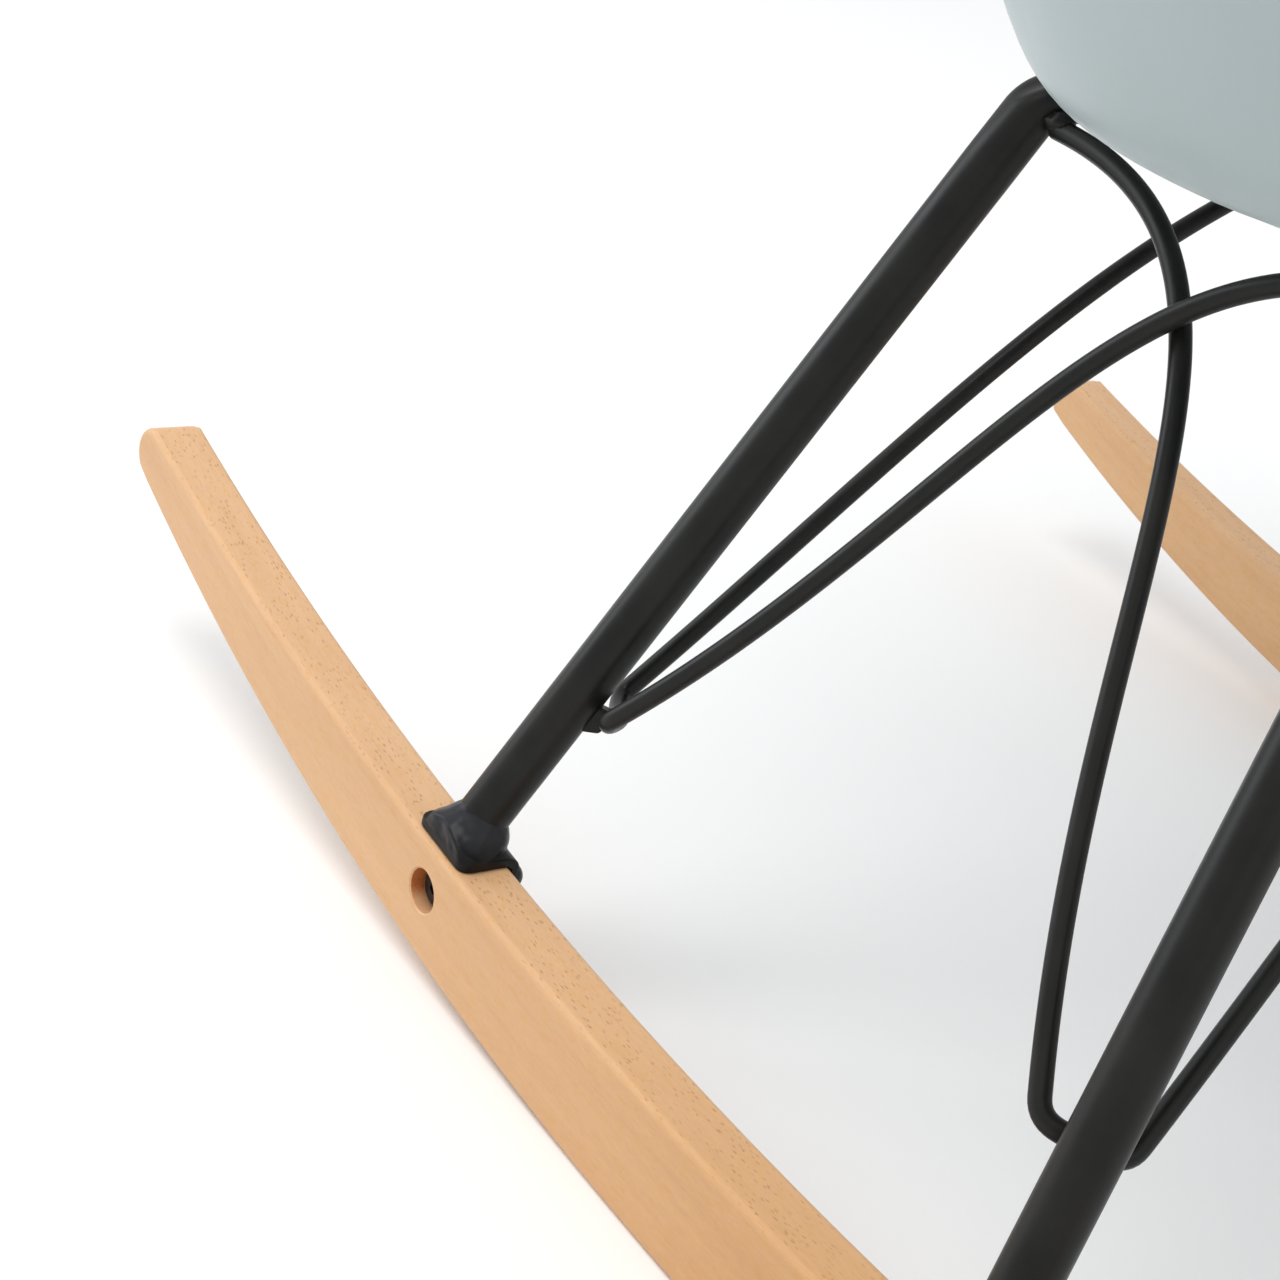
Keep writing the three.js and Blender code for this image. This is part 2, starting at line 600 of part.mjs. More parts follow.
for (const { tag, side, end } of corners) {
  add(`leg_tube_${tag}`, legSolid(side, end), 'steel');
  add(`brace_wire_${tag}`, wireSolid(side, end), 'steel');
  add(`brace_lug_${tag}`, lugSolid(side, end), 'steel');

  // On the rocker: +X of this group points inward, +Z along the rocker's top normal
  const saddle = new THREE.Group();
  const xAxis = vec(-side, 0, 0);
  const zAxis = mirror(saddleNormal, 1, end);
  const yAxis = zAxis.clone().cross(xAxis);
  saddle.setRotationFromMatrix(new THREE.Matrix4().makeBasis(xAxis, yAxis, zAxis));
  saddle.position.copy(mirror(footPoint, side, end));
  const leg = mirror(legAxis, side, end);
  const localLeg = vec(leg.dot(xAxis), leg.dot(yAxis), leg.dot(zAxis));
  const legTilt = new THREE.Matrix4().makeRotationFromQuaternion(
    new THREE.Quaternion().setFromUnitVectors(vec(0, 0, 1), localLeg));
  add(`saddle_bracket_${tag}`, bracketSolid(legTilt), 'steel', saddle);
  add(`rocker_bolt_${tag}`, boltSolid(), 'steel', saddle).position.z = -BOLT_DROP;
  add(`bolt_washer_${tag}`, washer(BOLT_HOLE_RADIUS, 6.6, -1.5, -GAP).rotateY(Math.PI / 2),
    'steel', saddle).position.z = -BOLT_DROP;
  add(`cap_nut_${tag}`, nutSolid(), 'steel', saddle).position.z = -BOLT_DROP;
  chair.add(saddle);

  // Under the seat: stacked on the flattened end of the leg
  const mount = new THREE.Group();
  mount.position.copy(mirror(mountPoint, side, end));
  const padLow = TAB_THICKNESS / 2 + GAP;
  const padHigh = padLow + PAD_THICKNESS;
  add(`mount_pad_${tag}`, washer(BOLT_HOLE_RADIUS, PAD_RADIUS, padLow, padHigh), 'rubber', mount);
  add(`shell_insert_${tag}`, washer(
    BOLT_RADIUS + GAP, INSERT_RADIUS, padHigh + 2 * GAP, padHigh + 2 * GAP + INSERT_LENGTH,
  ), 'brass', mount);
  add(`mount_screw_${tag}`, screwSolid(), 'steel', mount);
  chair.add(mount);
}

export default chair;
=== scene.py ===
import math

import bmesh
import bpy
import numpy as np
from mathutils import Matrix, Vector, noise


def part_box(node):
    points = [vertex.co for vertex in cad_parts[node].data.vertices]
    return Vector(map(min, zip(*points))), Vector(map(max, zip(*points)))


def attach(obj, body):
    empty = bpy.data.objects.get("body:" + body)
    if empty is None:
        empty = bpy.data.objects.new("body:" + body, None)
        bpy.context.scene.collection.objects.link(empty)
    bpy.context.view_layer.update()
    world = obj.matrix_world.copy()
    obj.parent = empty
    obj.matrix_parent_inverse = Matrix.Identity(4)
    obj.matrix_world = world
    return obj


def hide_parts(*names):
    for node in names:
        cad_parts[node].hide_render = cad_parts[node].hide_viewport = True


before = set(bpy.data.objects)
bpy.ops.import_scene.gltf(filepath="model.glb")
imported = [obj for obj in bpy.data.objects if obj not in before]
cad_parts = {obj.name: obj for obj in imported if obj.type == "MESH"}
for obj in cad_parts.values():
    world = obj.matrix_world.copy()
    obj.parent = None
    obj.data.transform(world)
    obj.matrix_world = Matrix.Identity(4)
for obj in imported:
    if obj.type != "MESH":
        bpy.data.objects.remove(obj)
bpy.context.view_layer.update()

# The chair's driving sizes, in metres. The corner pieces are described once, for the corner in the
# +X +Y quarter, and mirrored to the others, as in the CAD.
MM = 0.001
rocker_low, rocker_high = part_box("rocker_left")
ROCKER_X = (rocker_low.x + rocker_high.x) / 2
ROCKER_WIDTH = rocker_high.x - rocker_low.x
ROCKER_THICKNESS = 40 * MM
ROCKER_HALF_LENGTH = 350 * MM
SOLE_RADIUS = 936 * MM
TOP_RADIUS = 1316 * MM
TIP_RADIUS = 10 * MM
EDGE_ROUND = 2.5 * MM

SADDLE_Y = 120 * MM
TUBE_RADIUS = 8 * MM
LEG_KNEE = np.array([113.1, 80.7, 297]) * MM
LEG_STRAIGHT = 268 * MM
TAB_REACH = 30 * MM
TAB_RADIUS = 11 * MM
TAB_THICKNESS = 4 * MM
WIRE_RADIUS = 3 * MM
WIRE_TOP_Z = 287.9 * MM
PLATE_THICKNESS = 3 * MM
PLATE_LENGTH = 28 * MM
FLANGE_DROP = 24 * MM
WELD_HEIGHT = 14 * MM
WELD_SWELL = 4.3 * MM
GAP = 0.3 * MM

BOLT_DROP = 16 * MM
BOLT_RADIUS = 2.95 * MM
BOLT_HOLE_RADIUS = 3.4 * MM
HEAD_RADIUS = 6 * MM
HEAD_HEIGHT = 3.9 * MM
COUNTERBORE_RADIUS = 7 * MM
COUNTERBORE_DEPTH = 10 * MM
HEX_FLATS = 4 * MM
THREAD_CHAMFER = 0.6 * MM
WASHER_RADIUS = 6.6 * MM
WASHER_THICKNESS = 1.2 * MM
NUT_FLATS = 10 * MM
NUT_HEIGHT = 12 * MM
PAD_THICKNESS = 2 * MM
PAD_RADIUS = 12 * MM
INSERT_RADIUS = 4.6 * MM
INSERT_LENGTH = 4.5 * MM
BOSS_RADIUS = 13 * MM

SHELL_THICKNESS = 4.5 * MM
SEAT_CENTRE_Y = -46.5 * MM
SEAT_BASE_Z = 302.8 * MM
SEAT_TILT = math.radians(1.5)
PAN = {"side": 196 * MM, "front": 120 * MM, "back": 161 * MM, "power": 2}
RIM = {"side": 305 * MM, "front": 215 * MM, "back": 315 * MM, "power": 2.3}
RIM_HEIGHT = {"front": 45 * MM, "arm": 222 * MM, "back": 408 * MM}
CORNER_SIDE = 21.4 * MM
CORNER_BACK = 52 * MM
LIP_WIDTH = 12 * MM
LIP_DROP = 7 * MM

UP = np.array([0.0, 0.0, 1.0])
CORNERS = [("rear_left", 1, 1), ("rear_right", -1, 1), ("front_left", 1, -1), ("front_right", -1, -1)]


# ---- Small geometry helpers ----

def unit(vector):
    return np.asarray(vector, float) / np.linalg.norm(vector)


def smoothstep(value, low, high):
    share = np.clip((np.asarray(value, float) - low) / (high - low), 0, 1)
    return share * share * (3 - 2 * share)


def bezier(a, b, c, d, count):
    t = np.linspace(0, 1, count)[:, None]
    return (1 - t) ** 3 * a + 3 * t * (1 - t) ** 2 * b + 3 * t * t * (1 - t) * c + t ** 3 * d


def arc(centre, radius, start, stop, steps=8):
    """Points on an arc in a plane, from start to stop in degrees."""
    turns = np.radians(np.linspace(start, stop, steps + 1))
    return [(centre[0] + radius * math.cos(a), centre[1] + radius * math.sin(a)) for a in turns]


def fix_normals(piece):
    """Turns all faces outward."""
    build = bmesh.new()
    build.from_mesh(piece.data)
    bmesh.ops.recalc_face_normals(build, faces=build.faces)
    build.to_mesh(piece.data)
    build.free()
    return piece


def mesh_object(name, points, faces):
    mesh = bpy.data.meshes.new(name)
    mesh.from_pydata([tuple(p) for p in points], [], faces)
    piece = bpy.data.objects.new(name, mesh)
    bpy.context.scene.collection.objects.link(piece)
    return fix_normals(piece)


def unit_circle(sides):
    angles = 2 * np.pi * np.arange(sides) / sides
    return np.stack([np.cos(angles), np.sin(angles), np.zeros(sides)], axis=1)


def band(here, there, sides):
    """The faces between two rings of points, from where each ring starts in the list of points."""
    return [(here + i, here + (i + 1) % sides, there + (i + 1) % sides, there + i) for i in range(sides)]


def loft(name, rings):
    """One closed skin through equal rings of points."""
    rings = np.asarray(rings, float)
    count, sides = rings.shape[:2]
    faces = []
    for low in range(count - 1):
        faces += band(low * sides, (low + 1) * sides, sides)
    faces.append(tuple(reversed(range(sides))))
    faces.append(tuple((count - 1) * sides + side for side in range(sides)))
    return mesh_object(name, rings.reshape(-1, 3), faces)


def turned(name, profile, sides=48):
    """A turned piece along +Z. The profile is a list of (radius, height), and no radius is 0."""
    circle = unit_circle(sides)
    return loft(name, [circle * radius + UP * height for radius, height in profile])


def turned_ring(name, profile, sides=48):
    """A turned ring: the profile goes round the section and closes on itself."""
    circle = unit_circle(sides)
    points = np.concatenate([circle * radius + UP * height for radius, height in profile])
    faces = []
    for ring in range(len(profile)):
        faces += band(ring * sides, (ring + 1) % len(profile) * sides, sides)
    return mesh_object(name, points, faces)


def prism(name, outline, axis, low, high):
    """A flat outline carried along an axis. The outline's two numbers are the other two axes."""
    order = {"x": (2, 0, 1), "y": (0, 2, 1), "z": (0, 1, 2)}[axis]
    rings = [[[(u, v, level)[i] for i in order] for u, v in outline] for level in (low, high)]
    return loft(name, rings)


def transform(piece, matrix):
    piece.data.transform(matrix)
    return piece


def apply_modifiers(piece):
    """Makes what the modifiers show the piece's own mesh."""
    graph = bpy.context.evaluated_depsgraph_get()
    shown = bpy.data.meshes.new_from_object(piece.evaluated_get(graph))
    piece.modifiers.clear()
    old = piece.data
    piece.data = shown
    bpy.data.meshes.remove(old)
    return piece


def joined(pieces):
    """Several pieces that stay apart, as one object."""
    build = bmesh.new()
    for piece in pieces:
        build.from_mesh(piece.data)
    build.to_mesh(pieces[0].data)
    build.free()
    for piece in pieces[1:]:
        bpy.data.objects.remove(piece)
    return pieces[0]


def combine(piece, operation, *others):
    """Cuts, joins or intersects a piece with others, which are used up."""
    for other in others:
        modifier = piece.modifiers.new("combine", "BOOLEAN")
        modifier.operation = operation
        modifier.solver = "EXACT"
        modifier.object = other
        apply_modifiers(piece)
        bpy.data.objects.remove(other)
    return piece


def soften(piece, width, segments):
    """Rounds a piece's sharp edges."""
    modifier = piece.modifiers.new("soften", "BEVEL")
    modifier.width = width
    modifier.segments = segments
    modifier.limit_method = "ANGLE"
    modifier.angle_limit = math.radians(30)
    modifier.harden_normals = False
    return apply_modifiers(piece)


def place(piece, material, slot, *nodes, sharp=40, weighted=False):
    """Finishes a piece: its material, its shading and what it stands for."""
    piece.data.materials.clear()
    for one in material if isinstance(material, list) else [material]:
        piece.data.materials.append(one)
    piece.data.shade_smooth()
    piece.data.set_sharp_from_angle(angle=math.radians(sharp))
    if weighted:
        modifier = piece.modifiers.new("normals", "WEIGHTED_NORMAL")
        modifier.keep_sharp = True
    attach(piece, "root")
    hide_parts(*nodes)
    return piece


# ---- Materials ----

class Surface:
    """A material whose nodes are added one by one."""

    def __init__(self, name, **settings):
        self.material = bpy.data.materials.new(name)
        self.material.use_nodes = True
        self.tree = self.material.node_tree
        self.shader = self.tree.nodes["Principled BSDF"]
        for key, value in settings.items():
            self.shader.inputs[key.replace("_", " ")].default_value = value

    def add(self, kind, settings=None, **inputs):
        """A node. An input is a number, a colour or another node's output."""
        made = self.tree.nodes.new(kind)
        for key, value in (settings or {}).items():
            setattr(made, key, value)
        for key, value in inputs.items():
            self.feed(made.inputs[int(key[2:])] if key.startswith("in") else made.inputs[key], value)
        return made

    def feed(self, socket, value):
        """Links another node's output to a socket, or sets the socket's own value."""
        if isinstance(value, bpy.types.NodeSocket):
            self.tree.links.new(value, socket)
        else:
            socket.default_value = value

    def math(self, operation, a, b=0.0, c=0.0):
        return self.add("ShaderNodeMath", {"operation": operation}, in0=a, in1=b, in2=c).outputs[0]

    def scaled(self, x, y, z, source=None):
        """Object coordinates, or a given vector, stretched along each axis."""
        source = source or self.add("ShaderNodeTexCoord").outputs["Object"]
        return self.add("ShaderNodeVectorMath", {"operation": "MULTIPLY"},
                        in0=source, in1=(x, y, z)).outputs[0]

    def noise(self, vector, detail=3.0, roughness=0.5):
        return self.add("ShaderNodeTexNoise", Vector=vector, Scale=1.0, Detail=detail,
                        Roughness=roughness).outputs["Fac"]

    def ramp(self, value, *stops):
        """A colour ramp from (position, colour) stops; a number stands for a grey."""
        made = self.add("ShaderNodeValToRGB", Fac=value)
        elements = made.color_ramp.elements
        while len(elements) < len(stops):
            elements.new(0.5)
        for element, (position, colour) in zip(elements, stops):
            element.position = position
            grey = isinstance(colour, (int, float))
            element.color = (colour,) * 3 + (1,) if grey else (*colour, 1)
        return made.outputs["Color"]

    def mix(self, share, a, b, blend="MIX"):
        made = self.add("ShaderNodeMix", {"data_type": "RGBA", "blend_type": blend})
        for socket, value in zip((made.inputs[0], made.inputs[6], made.inputs[7]), (share, a, b)):
            self.feed(socket, (*value, 1) if isinstance(value, tuple) else value)
        return made.outputs[2]

    def bump(self, height, distance, strength=1.0, normal=None):
        inputs = {"Height": height, "Distance": distance, "Strength": strength}
        if normal:
            inputs["Normal"] = normal
        return self.add("ShaderNodeBump", **inputs).outputs["Normal"]

    def use(self, **sockets):
        for key, value in sockets.items():
            self.tree.links.new(value, self.shader.inputs[key.replace("_", " ")])
        return self.material


def bent_grain(wood):
    """Coordinates that follow the rocker's curve: the way along it, and along, across and through it."""
    spot = wood.add("ShaderNodeTexCoord").outputs["Object"]
    parts = wood.add("ShaderNodeSeparateXYZ", Vector=spot).outputs
    bend = (SOLE_RADIUS + TOP_RADIUS) / 2
    height = wood.math("SUBTRACT", bend, parts["Z"])
    angle = wood.math("ARCTAN2", parts["Y"], height)
    along = wood.math("MULTIPLY", angle, bend)
    reach = wood.math("SQRT", wood.math("ADD", wood.math("MULTIPLY", parts["Y"], parts["Y"]),
                                        wood.math("MULTIPLY", height, height)))
    return along, wood.add("ShaderNodeCombineXYZ", X=along, Y=parts["X"], Z=reach).outputs[0]


def ray_flecks(wood, grain, sideways):
    """Small dark dashes along the grain, clear on the top and faint on the sides."""
    waver = wood.add("ShaderNodeTexNoise", Vector=wood.scaled(300, 700, 700, grain), Scale=1.0,
                     Detail=2.0).outputs["Color"]
    sway = wood.add("ShaderNodeVectorMath", {"operation": "MULTIPLY_ADD"}, in0=waver,
                    in1=(0.9, 0.9, 0.9), in2=wood.scaled(340, 1080, 1080, grain)).outputs[0]
    cells = wood.add("ShaderNodeTexVoronoi", Vector=sway, Scale=1.0, Randomness=1.0).outputs
    core = wood.ramp(cells["Distance"], (0.14, 1.0), (0.38, 0.0))
    chosen = wood.add("ShaderNodeSeparateColor", Color=cells["Color"]).outputs
    kept = wood.ramp(chosen["Red"], (0.26, 0.0), (0.60, 1.0))
    patches = wood.ramp(wood.noise(wood.scaled(55, 110, 110, grain), 2), (0.32, 0.2), (0.52, 1.0))
    top = wood.ramp(sideways, (0.3, 1.0), (0.85, 0.22))
    return wood.math("MULTIPLY", wood.math("MULTIPLY", core, kept), wood.math("MULTIPLY", patches, top))


def beech_material(name, pale, deep, fleck, painted_top_light=None):
    """Straight-grained beech, with its grain bent along the rocker. Faces that look up may be painted paler,
    as painted light from above.
    """
    wood = Surface(name, IOR=1.48, Coat_Weight=0.12, Coat_Roughness=0.35)
    along, grain = bent_grain(wood)
    facing = wood.add("ShaderNodeSeparateXYZ",
                      Vector=wood.add("ShaderNodeNewGeometry").outputs["True Normal"]).outputs
    sideways = wood.math("ABSOLUTE", facing["X"])

    drift = wood.noise(wood.scaled(7, 30, 40, grain), 3, 0.55)
    rings = wood.noise(wood.scaled(9, 210, 260, grain), 4, 0.6)
    fibres = wood.noise(wood.scaled(150, 2600, 2600, grain), 3, 0.6)
    tone = wood.math("ADD", wood.math("MULTIPLY", drift, 0.55), wood.math("MULTIPLY", rings, 0.45))
    colour = wood.ramp(tone, (0.30, deep), (0.68, pale))
    mottle = wood.noise(wood.scaled(170, 330, 330, grain), 4, 0.65)
    tint = wood.ramp(mottle, (0.34, (1.0, 0.93, 0.80)), (0.50, 1.0), (0.66, (1.0, 0.955, 1.0)))
    colour = wood.mix(0.8, colour, tint, "MULTIPLY")
    # Painted shade: each rocker is painted darker and warmer towards its front end, where the light falls
    # off.
    painted_end_shade = wood.ramp(wood.math("ADD", wood.math("MULTIPLY", along, 2.5), 0.5),
                       (0.20, (0.90, 0.83, 0.68)), (0.80, 1.0))
    colour = wood.mix(1.0, colour, painted_end_shade, "MULTIPLY")
    fine = wood.ramp(fibres, (0.30, 0.90), (0.62, 1.0))
    colour = wood.mix(0.75, colour, fine, "MULTIPLY")

    # Painted shade: the rocker's sides are painted a little darker and warmer than its top, as if less of
    # the light from above falls on them.
    painted_side_shade = wood.ramp(sideways, (0.3, (1.0, 1.0, 1.0)), (0.85, (0.85, 0.825, 0.76)))
    colour = wood.mix(1.0, colour, painted_side_shade, "MULTIPLY")
    share = ray_flecks(wood, grain, sideways)
    colour = wood.mix(wood.math("MULTIPLY", share, 0.85), colour, fleck)

    # Painted light: faces that look up are painted paler, as if lit from above.
    if painted_top_light:
        top_light_share = wood.math("ADD", facing["Z"], wood.math("MULTIPLY", fibres, 0.35))
        colour = wood.mix(wood.ramp(top_light_share, (0.62, 0.0), (1.0, 0.85)), colour, painted_top_light)

    roughness = wood.ramp(fibres, (0.3, 0.52), (0.7, 0.42))
    normal = wood.bump(fibres, 0.05 * MM, 0.35)
    normal = wood.bump(share, 0.06 * MM, 0.3, normal)
    return wood.use(Base_Color=colour, Roughness=roughness, Normal=normal)


def steel_material(name, shine, tone=1.0, weld=None):
    """Satin black powder coat, with its faint orange peel and a few thin and worn places.

    Above the height weld, the coat is painted a lighter, slightly blue grey, a painted sheen over the weld
    collar.
    """
    coat = Surface(name, IOR=1.45, Specular_IOR_Level=shine)
    cloud = coat.noise(coat.scaled(60, 60, 60), 3)
    peel = coat.noise(coat.scaled(900, 900, 900), 2, 0.45)
    grit = coat.noise(coat.scaled(4200, 4200, 4200), 2, 0.6)
    thin, worn = np.array([0.0068, 0.0067, 0.0063]) * tone, np.array([0.0122, 0.0117, 0.0102]) * tone
    colour = coat.ramp(cloud, (0.3, thin.tolist()), (0.7, worn.tolist()))
    if weld:
        # Painted sheen: above the weld's height the coat is painted a lighter bluish grey, as a highlight on
        # the collar.
        height = coat.add("ShaderNodeSeparateXYZ", Vector=coat.scaled(1, 1, 1 / weld)).outputs["Z"]
        painted_sheen_share = coat.math("ADD", coat.math("MULTIPLY", height, 0.5), coat.math("MULTIPLY", cloud, 0.06))
        colour = coat.mix(coat.ramp(painted_sheen_share, (0.52, 0.0), (0.58, 1.0)), colour, (0.020, 0.0205, 0.024))
    roughness = coat.ramp(cloud, (0.3, 0.31), (0.72, 0.41))
    normal = coat.bump(peel, 0.04 * MM, 0.5)
    normal = coat.bump(grit, 0.012 * MM, 0.4, normal)
    return coat.use(Base_Color=colour, Roughness=roughness, Normal=normal)


def hardware_material():
    """Black oxide on turned steel, darker and lighter in random patches, with a little bare metal showing.
    """
    oxide = Surface("black_oxide", Metallic=0.75)
    cloud = oxide.noise(oxide.scaled(350, 350, 350), 3)
    turning = oxide.noise(oxide.scaled(5000, 900, 900), 2)
    colour = oxide.ramp(cloud, (0.35, (0.018, 0.018, 0.020)), (0.75, (0.055, 0.053, 0.050)))
    roughness = oxide.ramp(turning, (0.3, 0.28), (0.7, 0.5))
    return oxide.use(Base_Color=colour, Roughness=roughness, Normal=oxide.bump(turning, 0.01 * MM, 0.3))


def shell_material():
    """Satin moulded plastic, pale grey-blue, with a very fine mould texture."""
    plastic = Surface("moulded_plastic", IOR=1.49, Subsurface_Weight=0.06, Subsurface_Scale=0.002)
    cloud = plastic.noise(plastic.scaled(7, 7, 7), 2)
    texture = plastic.noise(plastic.scaled(2600, 2600, 2600), 2, 0.6)
    flow = plastic.noise(plastic.scaled(30, 30, 30), 3)
    colour = plastic.ramp(cloud, (0.3, (0.340, 0.405, 0.416)), (0.7, (0.370, 0.434, 0.442)))
    speck = plastic.ramp(texture, (0.35, 0.965), (0.65, 1.0))
    colour = plastic.mix(0.6, colour, speck, "MULTIPLY")
    roughness = plastic.ramp(flow, (0.3, 0.33), (0.7, 0.42))
    normal = plastic.bump(texture, 0.012 * MM, 0.45)
    return plastic.use(Base_Color=colour, Roughness=roughness, Normal=normal)


def rubber_material():
    rubber = Surface("black_rubber", Specular_IOR_Level=0.35)
    dust = rubber.noise(rubber.scaled(500, 500, 500), 3)
    colour = rubber.ramp(dust, (0.35, (0.010, 0.010, 0.010)), (0.75, (0.030, 0.029, 0.028)))
    roughness = rubber.ramp(dust, (0.3, 0.72), (0.7, 0.9))
    return rubber.use(Base_Color=colour, Roughness=roughness, Normal=rubber.bump(dust, 0.05 * MM, 0.4))


def brass_material():
    brass = Surface("turned_brass", Metallic=1.0)
    stain = brass.noise(brass.scaled(400, 400, 400), 3)
    lines = brass.noise(brass.scaled(200, 200, 6000), 2)
    colour = brass.ramp(stain, (0.35, (0.34, 0.22, 0.075)), (0.7, (0.60, 0.42, 0.17)))
    roughness = brass.ramp(lines, (0.3, 0.25), (0.7, 0.42))
    return brass.use(Base_Color=colour, Roughness=roughness, Normal=brass.bump(lines, 0.01 * MM, 0.4))


beech = beech_material("beech", (0.795, 0.497, 0.273), (0.692, 0.404, 0.201), (0.44, 0.205, 0.085))
# The counterbore's wall: end grain, redder than the faces, and darker with painted shade, as in a recess.
bored_beech = beech_material("bored_beech", (0.62, 0.215, 0.068), (0.45, 0.135, 0.038), (0.24, 0.07, 0.02),
                             painted_top_light=(0.70, 0.42, 0.22))
steel = steel_material("satin_black_steel", 0.27)
bracket_steel = steel_material("welded_black_steel", 0.2, tone=0.55, weld=50 * MM)
hardware = hardware_material()
plastic = shell_material()
rubber = rubber_material()
brass = brass_material()


# ---- Rockers ----

ROCKER_STATIONS = 170
TIP_STEPS = 14
TIP_ARC = 64  # degrees each way from the middle of a tip
EDGE_STEPS = 6
SIDE_ROWS = 4
BORE_CHAMFER = 0.5 * MM
SADDLE_SLOPE = math.asin(SADDLE_Y / TOP_RADIUS)


def sole_height(y):
    return SOLE_RADIUS - np.sqrt(SOLE_RADIUS ** 2 - y * y)


def top_height(y):
    return ROCKER_THICKNESS + TOP_RADIUS - np.sqrt(TOP_RADIUS ** 2 - y * y)


def rocker_outline():
    """A rocker's side view as (y, z): along the sole, round a tip, back along the top, round the other."""
    tip_y = ROCKER_HALF_LENGTH - TIP_RADIUS
    y = np.linspace(-tip_y, tip_y, ROCKER_STATIONS + 1)
    slope = (math.asin(tip_y / SOLE_RADIUS) + math.asin(tip_y / TOP_RADIUS)) / 2
    half_tip = (top_height(tip_y) - sole_height(tip_y)) / 2 * math.cos(slope)
    middle_z = (sole_height(tip_y) + top_height(tip_y)) / 2
    turns = np.radians(np.linspace(-TIP_ARC, TIP_ARC, TIP_STEPS - 1))
    along, up = TIP_RADIUS * np.cos(turns), half_tip * np.sin(turns)
    tip = np.stack([tip_y + along * math.cos(slope) - up * math.sin(slope),
                    middle_z + along * math.sin(slope) + up * math.cos(slope)], axis=1)
    sole = np.stack([y, sole_height(y)], axis=1)
    top = np.stack([y, top_height(y)], axis=1)
    return np.concatenate([sole, tip, top[::-1], (tip * (-1, 1))[::-1]])


def inward_normals(outline):
    ahead = np.roll(outline, -1, axis=0) - np.roll(outline, 1, axis=0)
    normals = np.stack([-ahead[:, 1], ahead[:, 0]], axis=1)
    return normals / np.linalg.norm(normals, axis=1, keepdims=True)


def fill_side(points, faces, base, count):
    """One flat side of a rocker, in rows between the sole's points and the top's."""
    first_near = 2 * ROCKER_STATIONS + TIP_STEPS
    middle = [(i, first_near - i) for i in range(ROCKER_STATIONS + 1)]
    far = [(ROCKER_STATIONS + k, ROCKER_STATIONS + TIP_STEPS - k) for k in range(1, TIP_STEPS // 2)]
    near = [((first_near + TIP_STEPS - k) % count, first_near + k) for k in range(1, TIP_STEPS // 2)]
    columns = []
    for low, high in near[::-1] + middle + far:
        start, stop = np.array(points[base + low]), np.array(points[base + high])
        column = [base + low]
        for row in range(1, SIDE_ROWS):
            points.append(tuple(start + (stop - start) * row / SIDE_ROWS))
            column.append(len(points) - 1)
        columns.append(column + [base + high])
    for left, right in zip(columns, columns[1:]):
        for row in range(SIDE_ROWS):
            faces.append((left[row], right[row], right[row + 1], left[row + 1]))
    far_end = base + ROCKER_STATIONS + TIP_STEPS // 2
    near_end = base + first_near + TIP_STEPS // 2
    for row in range(SIDE_ROWS):
        faces.append((columns[-1][row], far_end, columns[-1][row + 1]))
        faces.append((columns[0][row + 1], near_end, columns[0][row]))


def rocker_blank(tag, side):
    """A rocker before it is bored: a skin round the outline, with rounded edges, and two flat sides."""
    outline = rocker_outline()
    normals = inward_normals(outline)
    half, count = ROCKER_WIDTH / 2, len(outline)
    turns = np.radians(np.linspace(0, 90, EDGE_STEPS + 1))
    edge = [(half - EDGE_ROUND + EDGE_ROUND * math.sin(a), EDGE_ROUND * (1 - math.cos(a))) for a in turns]
    sections = [(-x, inset) for x, inset in reversed(edge)] + edge
    points, faces = [], []
    for x, inset in sections:
        points += [(side * ROCKER_X + x, y, z) for y, z in outline + normals * inset]
    for low in range(len(sections) - 1):
        faces += band(low * count, (low + 1) * count, count)
    for level in (0, len(sections) - 1):
        fill_side(points, faces, level * count, count)
    return mesh_object(f"beech_rocker_{tag}", points, faces)


def rocker(tag, side):
    body = rocker_blank(tag, side)
    half = ROCKER_WIDTH / 2

    # Counterbore from the outer face, with a fine chamfer, and a clearance hole
    centres = []
    for end in (-1, 1):
        centre = (end * (SADDLE_Y + BOLT_DROP * math.sin(SADDLE_SLOPE)),
                  top_height(SADDLE_Y) - BOLT_DROP * math.cos(SADDLE_SLOPE))
        centres.append(centre)
        floor = half - COUNTERBORE_DEPTH
        cutter = turned("cutter", [
            (BOLT_HOLE_RADIUS, -half - MM), (BOLT_HOLE_RADIUS, floor),
            (COUNTERBORE_RADIUS, floor), (COUNTERBORE_RADIUS, half - BORE_CHAMFER),
            (COUNTERBORE_RADIUS + 2 * BORE_CHAMFER, half + BORE_CHAMFER)], 72)
        turn = Matrix.Rotation(side * math.pi / 2, 4, "Y")
        transform(cutter, Matrix.Translation((side * ROCKER_X, *centre)) @ turn)
        combine(body, "DIFFERENCE", cutter)
    place(body, [beech, bored_beech], "beech", f"rocker_{tag}", weighted=True)
    # Faces inside a counterbore take the bore's material: end grain with painted shade.
    for face in body.data.polygons:
        near_hole = any(math.hypot(face.center.y - y, face.center.z - z) < COUNTERBORE_RADIUS + 0.1 * MM
                        for y, z in centres)
        depth = half - abs(face.center.x - side * ROCKER_X)
        face.material_index = int(near_hole and abs(depth) > BORE_CHAMFER)
    return body


# ---- Legs ----

